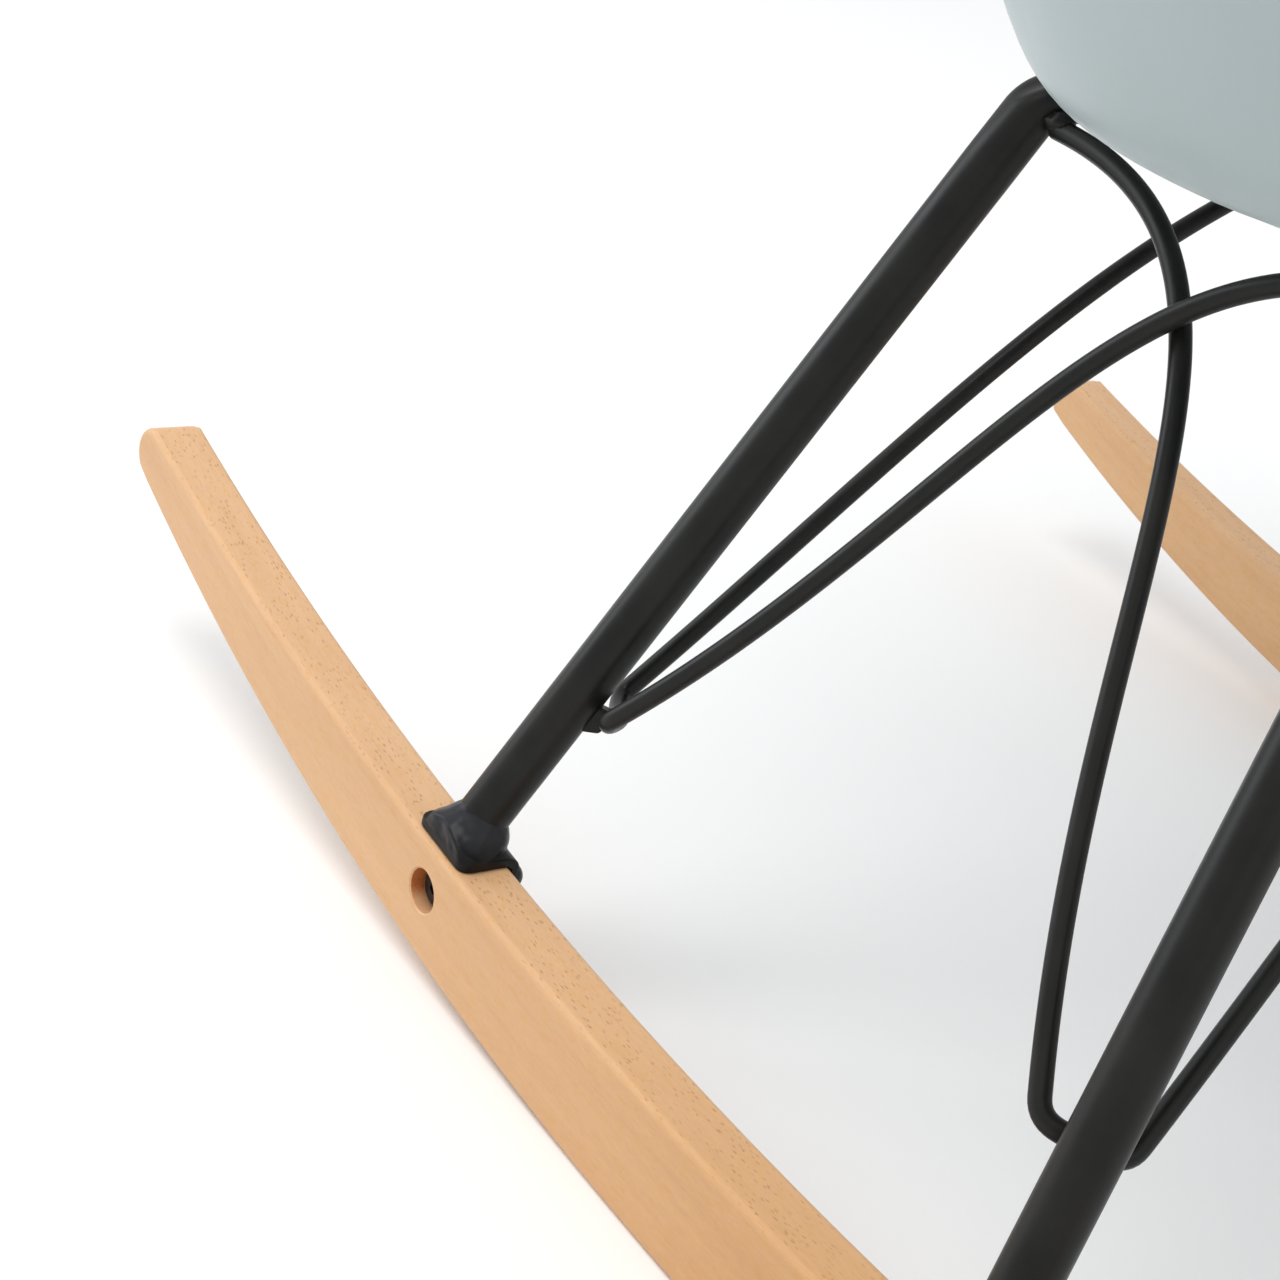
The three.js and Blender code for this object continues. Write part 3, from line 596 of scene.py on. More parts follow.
foot_point = np.array([ROCKER_X, SADDLE_Y, float(top_height(SADDLE_Y))])
leg_axis = unit(LEG_KNEE - foot_point)
inward = unit([leg_axis[0], leg_axis[1], 0])
across = np.array([-inward[1], inward[0], 0])
mount_point = LEG_KNEE + inward * TAB_REACH
KNEE_END = 0.7  # where the knee's curve ends, as a share of the tab's reach
KNEE_STEPS = 30
FLAT_START = 0.12  # how far along its flattening the tube is where the knee begins
KNEE_DENT = 0.55  # how deep the half-flattened tube is dented, as a share of its half thickness
TAB_TURNS = [0, 12, 24, 36, 47, 57, 66, 74, 81, 86]  # degrees round the tab's end
saddle_normal = np.array([0, -math.sin(SADDLE_SLOPE), math.cos(SADDLE_SLOPE)])


def leg_at(distance):
    return foot_point + leg_axis * distance


def leg_ring(centre, tangent, half_width, half_thickness, squareness, dent=0.0, sides=56):
    """A ring round the leg: an ellipse that squares up, and dents, as the tube is flattened."""
    lift = unit(np.cross(tangent, across))
    turns = 2 * np.pi * (np.arange(sides) + 0.5) / sides
    power = 2 / (2 + 3 * squareness)
    wide = np.sign(np.cos(turns)) * np.abs(np.cos(turns)) ** power
    tall = np.sign(np.sin(turns)) * np.abs(np.sin(turns)) ** power
    tall = tall * (1 - dent * np.exp(-(wide / 0.42) ** 2))
    return centre + np.outer(wide * half_width, across) + np.outer(tall * half_thickness, lift)


def leg(tag, side, end):
    """A straight tube from the bracket to the knee, where it bends and flattens into the tab."""
    knee_end = LEG_KNEE + inward * (KNEE_END * TAB_REACH)
    start = leg_at(LEG_STRAIGHT)
    foot_height = PLATE_THICKNESS + 2 * GAP
    foot = leg_ring(foot_point, leg_axis, TUBE_RADIUS, TUBE_RADIUS, 0)
    rise = foot_height - (foot - foot_point) @ saddle_normal
    rings = [foot + np.outer(rise / (leg_axis @ saddle_normal), leg_axis)]
    for distance in np.linspace(30 * MM, LEG_STRAIGHT - 14 * MM, 30):
        rings.append(leg_ring(leg_at(distance), leg_axis, TUBE_RADIUS, TUBE_RADIUS, 0))
    for i in range(1, KNEE_STEPS + 1):
        t = i / KNEE_STEPS
        centre = (1 - t) ** 2 * start + 2 * t * (1 - t) * LEG_KNEE + t * t * knee_end
        tangent = unit((1 - t) * (LEG_KNEE - start) + t * (knee_end - LEG_KNEE))
        flat = float(smoothstep(t + FLAT_START, 0, 1 + FLAT_START))
        rings.append(leg_ring(
            centre, tangent, TUBE_RADIUS + flat * (TAB_RADIUS - TUBE_RADIUS),
            TUBE_RADIUS + flat * (TAB_THICKNESS / 2 - TUBE_RADIUS), flat,
            dent=KNEE_DENT * flat * (1 - flat) * 2))
    for turn in np.radians(TAB_TURNS):
        centre = mount_point + inward * TAB_RADIUS * math.sin(turn)
        rings.append(leg_ring(centre, inward, TAB_RADIUS * math.cos(turn), TAB_THICKNESS / 2, 1))
    piece = loft(f"bent_leg_{tag}", np.array(rings) * (side, end, 1))
    hole = turned("hole", [(BOLT_HOLE_RADIUS, -TAB_THICKNESS), (BOLT_HOLE_RADIUS, TAB_THICKNESS)], 32)
    transform(hole, Matrix.Translation(mount_point * (side, end, 1)))
    combine(piece, "DIFFERENCE", hole)
    return place(piece, steel, "steel", f"leg_tube_{tag}", sharp=45)


# ---- Brace wires ----

BEND_TIP = {"along": 61.5 * MM, "out": TUBE_RADIUS + WIRE_RADIUS + 3 * MM}
ARM_START = {"along": 66.4 * MM, "out": 21.3 * MM}
ARMS = {
    "cross": {"heading": np.array([-1.0, 0, 0]), "rise": 47.2, "pull": 139 * MM, "settle": 144 * MM,
              "end": np.array([-104 * MM, 82.8 * MM, WIRE_TOP_Z]),
              "inner_shift": np.array([0, 0, 1.5]) * MM},
    "along": {"heading": np.array([0, -1.0, 0]), "rise": 56.1, "pull": 129 * MM, "settle": 100 * MM,
              "end": np.array([119.3 * MM, -73.2 * MM, WIRE_TOP_Z]),
              "inner_shift": np.array([0, 1.4, 0]) * MM},
}
CROSSING_OFFSET = 3.4 * MM
BEND_HOLD = {"arm": 7 * MM, "tip": 5 * MM}
WIRE_CAP = 0.6  # how far a wire's end bulges, as a share of its radius
BEAD_RADIUS = 4.2 * MM
BEAD_RISE = 2.2 * MM
BEAD_LUMPS = 0.3
BEAD_FLATNESS = 0.75
LUG_WIDTH = 5.5 * MM
LUG_LOW = {"leg": -10.5 * MM, "wire": -7 * MM}
LUG_HIGH = {"leg": -0.5 * MM, "wire": 1 * MM}


def square_to_leg(heading):
    """Unit vector square to the leg and as near as can be to the given direction."""
    return unit(heading - leg_axis * (heading @ leg_axis))


bend_direction = unit(square_to_leg(ARMS["cross"]["heading"]) + square_to_leg(ARMS["along"]["heading"]))


def wire_arm(arm, outward):
    """One arm's centre line, shifted out of the other wires' way: outward is 1 or -1."""
    heading, rise = arm["heading"], math.radians(arm["rise"])
    normal = unit(np.cross(leg_axis, heading))
    normal = -normal if normal[0] + normal[1] < 0 else normal
    shift = normal * outward * CROSSING_OFFSET
    up = unit(np.cross(heading, normal))
    up = up * np.sign(up[2])
    slope = heading * math.cos(rise) + up * math.sin(rise)
    start = leg_at(ARM_START["along"]) + square_to_leg(heading) * ARM_START["out"] + shift
    stop = arm["end"] + shift + (arm["inner_shift"] if outward < 0 else 0)
    curve = bezier(start, start + slope * arm["pull"], stop - heading * arm["settle"], stop, 90)
    return curve, start, slope


def wire_path(side, end):
    """A hairpin's centre line: down one arm, round the bend beside the leg and up the other arm."""
    outward = -side * end
    cross, cross_start, cross_slope = wire_arm(ARMS["cross"], outward)
    along, along_start, along_slope = wire_arm(ARMS["along"], outward)
    tip = leg_at(BEND_TIP["along"]) + bend_direction * BEND_TIP["out"]
    turn = unit(along_start - cross_start)
    arm_hold, tip_hold = BEND_HOLD["arm"], turn * BEND_HOLD["tip"]
    into = bezier(cross_start, cross_start - cross_slope * arm_hold, tip - tip_hold, tip, 14)
    away = bezier(tip, tip + tip_hold, along_start - along_slope * arm_hold, along_start, 14)
    return np.concatenate([cross[::-1], into[1:], away[1:], along[1:]])


def weld_bead(centre, direction, mirror):
    """A lumpy drop of weld between the end of a wire and the tab above it."""
    u = unit(np.cross(direction, UP))
    v = np.cross(direction, u)
    turns = 2 * np.pi * np.arange(20) / 20
    rings = []
    for lean in np.radians(np.linspace(-84, 84, 13)):
        ring = []
        for turn in turns:
            way = direction * math.sin(lean) + (u * math.cos(turn) + v * math.sin(turn)) * math.cos(lean)
            lump = 1 + BEAD_LUMPS * noise.noise(Vector(way * 1.9 + centre * 40))
            ring.append(centre + way * BEAD_RADIUS * lump * (1, 1, BEAD_FLATNESS))
        rings.append(ring)
    return loft("bead", np.array(rings) * mirror)


def wire(tag, side, end):
    """A hairpin of round rod with rounded ends, and the bead of weld on each end."""
    path = wire_path(side, end)
    tangents = np.gradient(path, axis=0)
    tangents /= np.linalg.norm(tangents, axis=1, keepdims=True)
    cap = np.radians([80, 60, 40, 20])
    bulge = WIRE_RADIUS * WIRE_CAP
    stations = [(path[0] - tangents[0] * bulge * math.sin(a), tangents[0], math.cos(a)) for a in cap]
    stations += [(p, t, 1.0) for p, t in zip(path, tangents)]
    stations += [(path[-1] + tangents[-1] * bulge * math.sin(a), tangents[-1], math.cos(a))
                 for a in reversed(cap)]
    turns = 2 * np.pi * np.arange(24) / 24
    u = unit(np.cross(tangents[0], UP))
    rings = []
    for centre, tangent, share in stations:
        u = unit(u - tangent * (u @ tangent))
        v = np.cross(tangent, u)
        radius = WIRE_RADIUS * share
        rings.append(centre + np.outer(radius * np.cos(turns), u) + np.outer(radius * np.sin(turns), v))
    piece = loft(f"hairpin_wire_{tag}", np.array(rings) * (side, end, 1))
    beads = [weld_bead(path[at] + UP * BEAD_RISE, tangents[at], (side, end, 1)) for at in (0, -1)]
    return place(joined([piece, *beads]), steel, "steel", f"brace_wire_{tag}", sharp=60)


def lug(tag, side, end):
    """Small wedge of weld between the leg and the wire's bend. Its heights are from the bend's tip."""
    inner, outer = TUBE_RADIUS - 2 * MM, BEND_TIP["out"] - 2 * MM
    outline = [(inner, LUG_LOW["leg"]), (outer, LUG_LOW["wire"]),
               (outer + 1.2 * MM, LUG_HIGH["wire"]), (inner, LUG_HIGH["leg"])]
    piece = soften(prism(f"welded_lug_{tag}", outline, "x", -LUG_WIDTH / 2, LUG_WIDTH / 2), 1 * MM, 4)
    basis = np.stack([np.cross(bend_direction, leg_axis), bend_direction, leg_axis], axis=1)
    matrix = Matrix(basis.tolist()).to_4x4()
    matrix.translation = leg_at(BEND_TIP["along"])
    fix_normals(transform(piece, Matrix.Diagonal((side, end, 1, 1)) @ matrix))
    return place(piece, steel, "steel", f"brace_lug_{tag}", weighted=True)


# ---- Saddle brackets ----

WELD_FULLEST = (0.83, -0.56)  # the way in the corner frame in which a weld is fullest
WELD_TOE = 3 * MM
WELD_SLOPE = 5.2 * MM
LUMP_HEIGHT = 0.7 * MM
RIPPLE_HEIGHT = 0.035 * MM

# From a piece's own +Z to the bolt's line, which is the corner frame's +X at the bolt's height
BOLT_TURN = Matrix.Translation((0, 0, -BOLT_DROP)) @ Matrix.Rotation(math.pi / 2, 4, "Y")


def saddle_matrix(side, end):
    """Corner frame: +X inward across the rocker, +Z square to the rocker's top face."""
    x_axis = np.array([-side, 0, 0])
    z_axis = saddle_normal * (1, end, 1)
    y_axis = np.cross(z_axis, x_axis)
    matrix = Matrix(np.stack([x_axis, y_axis, z_axis], axis=1).tolist()).to_4x4()
    matrix.translation = foot_point * (side, end, 1)
    return matrix


def weld_rings(plate_top, end):
    """The weld round a leg's foot: full on the side facing the seat's middle, a plain slope on the other."""
    circle = unit_circle(64)
    x, y = WELD_FULLEST
    towards_middle = smoothstep(0.5 + 0.5 * (x * circle[:, 0] + y * end * circle[:, 1]), 0.1, 0.75)
    rings = []
    for height in np.linspace(-4 * MM, WELD_HEIGHT, 30):
        rise = max(height - plate_top, 0) / (WELD_HEIGHT - plate_top)
        full = WELD_SWELL * (1 - rise ** 2.6) + WELD_TOE * math.exp(-rise / 0.12)
        slope = WELD_SLOPE * max(1 - rise * 1.25, 0) ** 1.2
        radii = TUBE_RADIUS - 0.25 * MM + towards_middle * full + (1 - towards_middle) * slope
        rings.append(circle * radii[:, None] + UP * height)
    return rings


def bracket_plate(tag):
    """The bent plate over the rocker, and its plan, which bounds the weld as well."""
    half = ROCKER_WIDTH / 2
    low, high = GAP, GAP + PLATE_THICKNESS
    inner, outer = half + GAP, half + GAP + PLATE_THICKNESS
    reach = PLATE_LENGTH / 2
    edge, bend = -half + 2 * MM, 2 * MM
    profile = [(edge, low)]
    profile += arc((inner - bend, low - bend), bend, 90, 0)
    profile += [(inner, -FLANGE_DROP), (outer, -FLANGE_DROP)]
    profile += arc((inner - bend, low - bend), bend + PLATE_THICKNESS, 0, 90)
    profile += [(edge, high)]
    piece = prism(f"welded_bracket_{tag}", profile, "y", -reach, reach)
    corner, sharp = 4 * MM, 0.4 * MM
    plan = arc((edge + corner, -reach + corner), corner, 180, 270)
    plan += arc((outer - sharp, -reach + sharp), sharp, 270, 360, 2)
    plan += arc((outer - sharp, reach - sharp), sharp, 0, 90, 2)
    plan += arc((edge + corner, reach - corner), corner, 90, 180)
    foot = 7 * MM
    face = arc((-reach + foot, -FLANGE_DROP + foot), foot, 180, 270)
    face += arc((reach - foot, -FLANGE_DROP + foot), foot, 270, 360)
    face += [(reach, 20 * MM), (-reach, 20 * MM)]
    combine(piece, "INTERSECT", prism("plan", plan, "z", -60 * MM, 20 * MM),
            prism("face", face, "x", -30 * MM, 30 * MM))
    return piece, plan


def painted_skin(piece):
    """One even skin, eased as thick paint eases it."""
    remesh = piece.modifiers.new("skin", "REMESH")
    remesh.mode = "VOXEL"
    remesh.voxel_size = 0.45 * MM
    ease = piece.modifiers.new("ease", "SMOOTH")
    ease.factor = 0.5
    ease.iterations = 4
    return apply_modifiers(piece)


def add_lumps(piece, plate_top, axis, seed):
    """Lumps on the weld, lower away from the leg's axis, and a faint ripple in all the paint."""
    line = np.array(axis.normalized())
    spots = np.array([vertex.co for vertex in piece.data.vertices])
    radial = np.linalg.norm(spots - np.outer(spots @ line, line), axis=1)
    near = 1 - 0.5 * smoothstep(radial, 11 * MM, 17 * MM)
    welds = smoothstep(spots[:, 2], plate_top, plate_top + 1.2 * MM) * near
    for vertex, weld in zip(piece.data.vertices, welds.tolist()):
        point = vertex.co
        lumps = noise.noise(point * 160 + seed) * 0.85 + noise.noise(point * 380 + seed) * 0.22
        ripple = noise.noise(point * 90 + seed)
        vertex.co = point + vertex.normal * (LUMP_HEIGHT * weld * lumps + RIPPLE_HEIGHT * ripple)


def bracket(tag, side, end):
    """The plate and the weld collar, metal that flows from the tube down to the plate, under one skin."""
    piece, plan = bracket_plate(tag)
    plate_top = GAP + PLATE_THICKNESS
    matrix = saddle_matrix(side, end)
    local_leg = matrix.to_3x3().transposed() @ Vector(leg_axis * (side, end, 1))
    tilt = Vector((0, 0, 1)).rotation_difference(local_leg).to_matrix().to_4x4()
    collar = transform(loft("collar", weld_rings(plate_top, end)), tilt)
    combine(collar, "INTERSECT", prism("plan", plan, "z", plate_top - 1.5 * MM, 40 * MM))
    combine(piece, "UNION", collar)
    hole = turned("hole", [(BOLT_HOLE_RADIUS, 0), (BOLT_HOLE_RADIUS, 30 * MM)], 32)
    combine(piece, "DIFFERENCE", transform(hole, BOLT_TURN))
    painted_skin(piece)
    add_lumps(piece, plate_top, local_leg, Vector((7.3 * side, 3.1 * end, 1.7)))
    return place(transform(piece, matrix), bracket_steel, "steel", f"saddle_bracket_{tag}", sharp=80)


# ---- Rocker fasteners ----

BORE_FLOOR = COUNTERBORE_DEPTH - ROCKER_WIDTH / 2
HEAD_SEAT = BORE_FLOOR - WASHER_THICKNESS - 2 * GAP
NUT_SEAT = ROCKER_WIDTH / 2 + PLATE_THICKNESS + 2 * GAP
CORE = 0.02 * MM  # the radius where a turned profile ends, next to its axis


def hexagon_radius(flats):
    return flats / math.sqrt(3)


def rounded_profile(points, radius, steps=4):
    """A profile with the corners between its ends eased, each by a short curve."""
    eased = [points[0]]
    for before, corner, after in zip(points, points[1:], points[2:]):
        before, corner, after = (np.array(p, float) for p in (before, corner, after))
        into, out = before - corner, after - corner
        cut = min(radius, 0.45 * np.linalg.norm(into), 0.45 * np.linalg.norm(out))
        start, stop = corner + unit(into) * cut, corner + unit(out) * cut
        for t in np.linspace(0, 1, steps + 1):
            eased.append(tuple((1 - t) ** 2 * start + 2 * t * (1 - t) * corner + t * t * stop))
    return eased + [points[-1]]


def headed(name, head, seat, tip, socket_floor):
    """A bolt or a screw: its head's profile down to the seat, a shank up to the tip and a hexagon socket."""
    shank = [(BOLT_RADIUS, seat), (BOLT_RADIUS, tip - THREAD_CHAMFER),
             (BOLT_RADIUS - THREAD_CHAMFER, tip), (CORE, tip)]
    piece = turned(name, rounded_profile(head + shank, 0.4 * MM))
    corner = hexagon_radius(HEX_FLATS)
    socket = turned("socket", [(corner, seat - 5 * MM), (corner, seat - socket_floor)], 6)
    return combine(piece, "DIFFERENCE", socket)


def rocker_bolt(tag, matrix):
    """The button-head bolt, from the counterbore into the cap nut."""
    top, tip = HEAD_SEAT - HEAD_HEIGHT, NUT_SEAT - 2 * GAP + NUT_HEIGHT - 4 * MM
    head = [(CORE, top), (HEAD_RADIUS - 0.7 * MM, top), (HEAD_RADIUS, top + 0.9 * MM),
            (HEAD_RADIUS, HEAD_SEAT)]
    bolt = headed(f"button_bolt_{tag}", head, HEAD_SEAT, tip, 1.2 * MM)
    place(transform(bolt, matrix), hardware, "hardware", f"rocker_bolt_{tag}")


def bolt_washer(tag, matrix):
    """The washer under the bolt's head."""
    inner, outer, ease = BOLT_HOLE_RADIUS, WASHER_RADIUS, 0.25 * MM
    low, high = HEAD_SEAT + GAP, BORE_FLOOR - GAP
    washer = turned_ring(f"steel_washer_{tag}", [
        (inner, low), (outer - ease, low), (outer, low + ease), (outer, high - ease),
        (outer - ease, high), (inner, high)])
    place(transform(washer, matrix), hardware, "hardware", f"bolt_washer_{tag}")


def cap_nut(tag, matrix):
    """The domed nut behind the flange: a hexagon with chamfered corners, a dome and a blind bore."""
    corner, flat, top = hexagon_radius(NUT_FLATS), NUT_FLATS / 2, NUT_SEAT + 5.5 * MM
    nut = turned(f"domed_nut_{tag}", [(corner, NUT_SEAT), (corner, top)], 6)
    chamfer = turned("chamfer", [
        (flat + 0.1 * MM, NUT_SEAT - 0.4 * MM), (flat + 1.2 * MM, NUT_SEAT + 0.7 * MM),
        (flat + 1.2 * MM, top - 0.9 * MM), (flat + 0.1 * MM, top + 0.2 * MM)])
    combine(nut, "INTERSECT", chamfer)
    dome_radius, dome_low = 4.6 * MM, 7.2 * MM
    curve = [(dome_radius * math.cos(a), NUT_SEAT + dome_low + (NUT_HEIGHT - dome_low) * math.sin(a))
             for a in np.radians(np.linspace(0, 88, 12))]
    combine(nut, "UNION", turned("dome", [(dome_radius, top - 0.7 * MM), *curve]))
    bore = turned("bore", [(BOLT_RADIUS + GAP, NUT_SEAT - MM), (BOLT_RADIUS + GAP, NUT_SEAT + 9 * MM)], 32)
    combine(nut, "DIFFERENCE", bore)
    place(transform(nut, matrix), hardware, "hardware", f"cap_nut_{tag}")


def rocker_fasteners(tag, side, end):
    matrix = saddle_matrix(side, end) @ BOLT_TURN
    rocker_bolt(tag, matrix)
    bolt_washer(tag, matrix)
    cap_nut(tag, matrix)


# ---- Seat mounts ----
# Heights are from the middle of a leg's tab.

PAD_LOW = TAB_THICKNESS / 2 + GAP
PAD_HIGH = PAD_LOW + PAD_THICKNESS
BUSH_LOW = PAD_HIGH + 2 * GAP


def mount_pad(tag, matrix):
    """The rubber pad between the tab and the shell's boss."""
    ease, bulge_in, bulge_up = 0.5 * MM, 0.15 * MM, 0.2 * MM
    pad = turned_ring(f"rubber_pad_{tag}", [
        (BOLT_HOLE_RADIUS, PAD_LOW), (PAD_RADIUS - ease, PAD_LOW),
        (PAD_RADIUS - bulge_in, PAD_LOW + bulge_up), (PAD_RADIUS, PAD_LOW + ease),
        (PAD_RADIUS, PAD_HIGH - ease), (PAD_RADIUS - bulge_in, PAD_HIGH - bulge_up),
        (PAD_RADIUS - ease, PAD_HIGH), (BOLT_HOLE_RADIUS, PAD_HIGH)])
    place(transform(pad, matrix), rubber, "rubber", f"mount_pad_{tag}")


def shell_insert(tag, matrix):
    """The brass bush in the shell's boss, with three ridges round it."""
    inner, ridge, groove = BOLT_RADIUS + GAP, INSERT_RADIUS, INSERT_RADIUS - 0.35 * MM
    profile = [(inner, BUSH_LOW), (ridge - 0.2 * MM, BUSH_LOW)]
    for number in range(3):
        start = BUSH_LOW + 0.3 * MM + number * 1.4 * MM
        profile += [(ridge, start), (ridge, start + 0.9 * MM), (groove, start + 1.1 * MM)]
    profile += [(groove, BUSH_LOW + INSERT_LENGTH), (inner, BUSH_LOW + INSERT_LENGTH)]
    bush = turned_ring(f"brass_bush_{tag}", profile)
    place(transform(bush, matrix), brass, "brass", f"shell_insert_{tag}")


def mount_screw(tag, matrix):
    """The screw from below, through the tab and the pad and into the bush."""
    seat, tip = -TAB_THICKNESS / 2 - GAP, BUSH_LOW + INSERT_LENGTH - 0.8 * MM
    head = [(CORE, seat - 3.4 * MM), (3.6 * MM, seat - 3.4 * MM), (5.4 * MM, seat - 2.4 * MM),
            (6 * MM, seat - 0.8 * MM), (6 * MM, seat)]
    screw = headed(f"seat_screw_{tag}", head, seat, tip, 1.4 * MM)
    place(transform(screw, matrix), hardware, "hardware", f"mount_screw_{tag}")


def seat_mount(tag, side, end):
    matrix = Matrix.Translation(mount_point * (side, end, 1))
    mount_pad(tag, matrix)
    shell_insert(tag, matrix)
    mount_screw(tag, matrix)


# ---- Seat shell ----

RIM_TURNS = [25, 50, 75, 90, 105, 130, 155]  # degrees round the rim's edge


def plan_radius(plan, angle):
    """Superellipse radius with its own length at the front and at the back."""
    sine, cosine = np.abs(np.sin(angle)), np.cos(angle)
    length = np.where(cosine > 0, plan["front"], plan["back"])
    power = plan["power"]
    return ((sine / plan["side"]) ** power + (np.abs(cosine) / length) ** power) ** (-1 / power)


def shell_profile(angle):
    """Height of the underside along one direction, and where its rim is."""
    degrees = abs(math.degrees(math.atan2(math.sin(angle), math.cos(angle))))
    height = RIM_HEIGHT["front"]
    height += (RIM_HEIGHT["arm"] - RIM_HEIGHT["front"]) * smoothstep(degrees, 30, 80)
    height += (RIM_HEIGHT["back"] - RIM_HEIGHT["arm"]) * smoothstep(degrees, 100, 172)
    corner = CORNER_SIDE + (CORNER_BACK - CORNER_SIDE) * smoothstep(degrees, 100, 180)
    pan, rim = plan_radius(PAN, angle), plan_radius(RIM, angle)
    steepness = (height - corner ** 2 / (4 * height)) / (rim - pan)

    def bend(radius):
        wall = steepness * (radius - pan)
        return (wall + np.sqrt(wall ** 2 + corner ** 2)) / 2

    def height_at(radius):
        lip = np.maximum(0, (radius - rim) / LIP_WIDTH + 1)
        return bend(radius) - bend(0.0) * (1 - radius / rim) - LIP_DROP * lip ** 2
    return rim, height_at


def shell_line(angle, radii):
    """Points on the underside along one direction."""
    _, height_at = shell_profile(angle)
    flat = np.stack([radii * math.sin(angle), -radii * math.cos(angle), height_at(radii)], axis=1)
    cosine, sine = math.cos(SEAT_TILT), math.sin(SEAT_TILT)
    y = flat[:, 1] * cosine + flat[:, 2] * sine
    z = -flat[:, 1] * sine + flat[:, 2] * cosine
    return np.stack([flat[:, 0], y + SEAT_CENTRE_Y, z + SEAT_BASE_Z], axis=1)


def even_radii(angle, count):
    """Radii that divide one direction's profile into equal lengths."""
    rim, height_at = shell_profile(angle)
    fine = np.linspace(0, rim, 400)
    lengths = np.concatenate([[0], np.cumsum(np.hypot(np.diff(fine), np.diff(height_at(fine))))])
    return np.interp(lengths[-1] * np.arange(1, count + 1) / count, lengths, fine)


def shell_skin():
    """The moulded shell as one closed skin: the underside, the rounded rim and the inside."""
    sectors, count = 176, 60
    angles = 2 * np.pi * np.arange(sectors) / sectors
    under = np.zeros((count, sectors, 3))
    normals = np.zeros_like(under)
    turn, step = 0.004, 0.3 * MM
    for i, angle in enumerate(angles):
        radii = even_radii(angle, count)
        under[:, i] = shell_line(angle, radii)
        round_way = shell_line(angle + turn, radii) - shell_line(angle - turn, radii)
        out_way = shell_line(angle, radii + step) - shell_line(angle, radii - step)
        normal = np.cross(out_way, round_way)
        normals[:, i] = normal / np.linalg.norm(normal, axis=1, keepdims=True)
    inside = under + normals * SHELL_THICKNESS
    outward = under[-1] - under[-2]
    outward /= np.linalg.norm(outward, axis=1, keepdims=True)
    rim = [under[-1] + normals[-1] * SHELL_THICKNESS * (1 - math.cos(a)) / 2
           + outward * SHELL_THICKNESS / 2 * math.sin(a) for a in np.radians(RIM_TURNS)]
    rings = np.concatenate([under, rim, inside[::-1]])
    total = len(rings)
    centre_under = shell_line(0.0, np.array([1e-6]))[0]
    points = np.concatenate([rings.reshape(-1, 3), [centre_under, centre_under + UP * SHELL_THICKNESS]])
    faces = []
    for low in range(total - 1):
        faces += band(low * sectors, (low + 1) * sectors, sectors)
    for i in range(sectors):
        j = (i + 1) % sectors
        faces.append((i, total * sectors, j))
        faces.append(((total - 1) * sectors + i, (total - 1) * sectors + j, total * sectors + 1))
    return mesh_object("moulded_shell", points, faces)


def seat_shell():
    """The shell, with a boss over each mount and the bush's socket in it."""
    shell = shell_skin()
    face = mount_point[2] + PAD_HIGH + GAP
    bosses, sockets = [], []
    for _, side, end in CORNERS:
        x, y = mount_point[0] * side, mount_point[1] * end
        radius = math.hypot(x, y - SEAT_CENTRE_Y)
        angle = math.atan2(x, -(y - SEAT_CENTRE_Y))
        surface = shell_line(angle, np.array([radius]))[0][2] + SHELL_THICKNESS / 2
        boss = turned("boss", rounded_profile([
            (CORE, face), (BOSS_RADIUS, face), (BOSS_RADIUS, surface), (CORE, surface)], 0.8 * MM), 64)
        socket = turned("socket", [(INSERT_RADIUS + GAP, face - 10 * MM),
                                   (INSERT_RADIUS + GAP, face + INSERT_LENGTH + 2 * GAP)], 32)
        bosses.append(transform(boss, Matrix.Translation((x, y, 0))))
        sockets.append(transform(socket, Matrix.Translation((x, y, 0))))
    combine(shell, "UNION", joined(bosses))
    combine(shell, "DIFFERENCE", joined(sockets))
    return place(shell, plastic, "shell", "seat_shell", sharp=50)


# ---- The chair ----

seat_shell()
for tag, side in (("left", 1), ("right", -1)):
    rocker(tag, side)
for tag, side, end in CORNERS:
    leg(tag, side, end)
    wire(tag, side, end)
    lug(tag, side, end)
    bracket(tag, side, end)
    rocker_fasteners(tag, side, end)
    seat_mount(tag, side, end)


# ---- Floor, light and camera ----

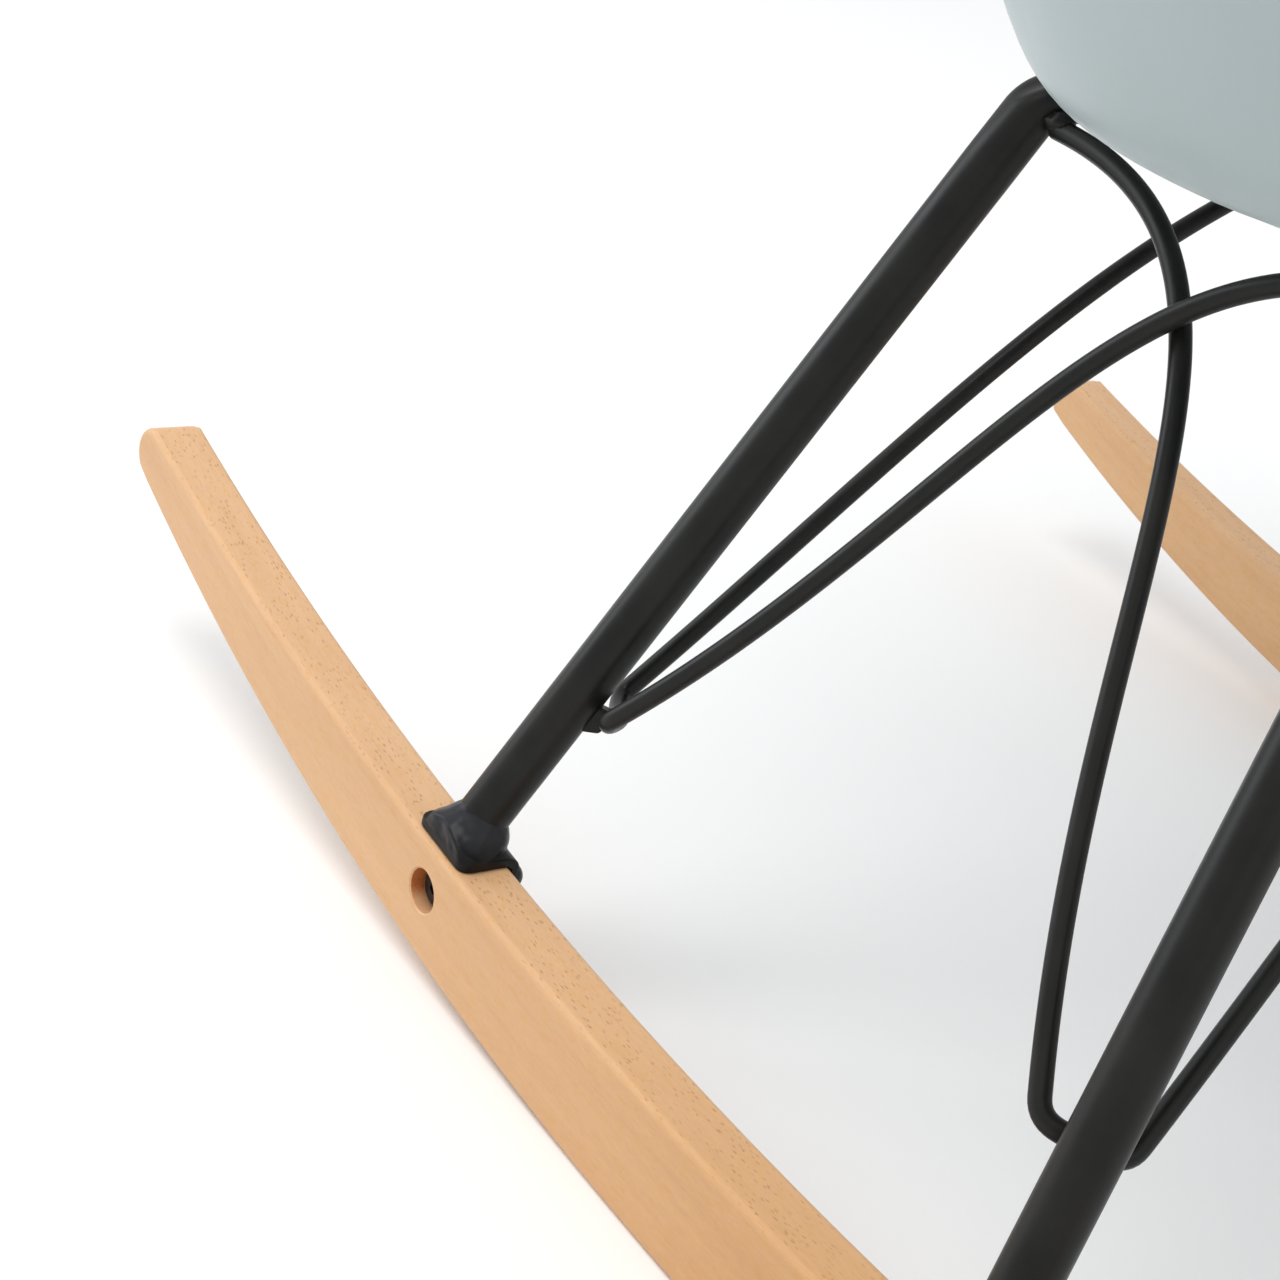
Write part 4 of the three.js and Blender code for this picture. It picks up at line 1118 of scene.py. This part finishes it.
def studio():
    size = 12.0
    corners = [(-size, -size, 0), (size, -size, 0), (size, size, 0), (-size, size, 0)]
    floor = mesh_object("studio_floor", corners, [(0, 1, 2, 3)])
    pale = Surface("studio_floor", Roughness=0.9, Specular_IOR_Level=0.1)
    pale.shader.inputs["Base Color"].default_value = (0.92, 0.92, 0.92, 1)
    floor.data.materials.append(pale.material)

    world = bpy.data.worlds.new("studio")
    bpy.context.scene.world = world
    world.use_nodes = True
    background = world.node_tree.nodes["Background"]
    background.inputs["Color"].default_value = (0.98, 0.99, 1.0, 1)
    background.inputs["Strength"].default_value = 0.78

    lamps = {
        "key": {"at": (-1.4, 0.2, 3.4), "size": 2.0, "power": 56, "colour": (1.0, 0.98, 0.96)},
        "front": {"at": (-0.6, -2.8, 1.8), "size": 2.0, "power": 5, "colour": (1.0, 0.99, 0.97)},
        "rim": {"at": (-1.7, 2.6, 1.2), "size": 2.0, "power": 30, "colour": (0.92, 0.96, 1.0)},
    }
    for name, lamp in lamps.items():
        data = bpy.data.lights.new(name, "AREA")
        data.shape = "DISK"
        data.size = lamp["size"]
        data.energy = lamp["power"]
        data.color = lamp["colour"]
        light = bpy.data.objects.new(name, data)
        bpy.context.scene.collection.objects.link(light)
        light.location = lamp["at"]
        aim = Vector((0, 0, 0.3)) - Vector(lamp["at"])
        light.rotation_euler = aim.to_track_quat("-Z", "Y").to_euler()


def camera():
    """A close view from the front right, rolled a little, as a person leaning over the chair sees it."""
    right = Vector((0.8153, -0.5434, 0.1999)).normalized()
    back = Vector((-0.5707, -0.6963, 0.4353))
    back = (back - right * back.dot(right)).normalized()
    up = back.cross(right)
    data = bpy.data.cameras.new("camera")
    data.sensor_width = 36
    data.lens = 67.5
    data.clip_start = 0.02
    data.clip_end = 50
    eye = bpy.data.objects.new("camera", data)
    bpy.context.scene.collection.objects.link(eye)
    matrix = Matrix((right, up, back)).transposed().to_4x4()
    matrix.translation = (-0.59299, -0.38427, 0.42538)
    eye.matrix_world = matrix
    bpy.context.scene.camera = eye


studio()
camera()
bpy.context.scene.view_settings.view_transform = "Standard"
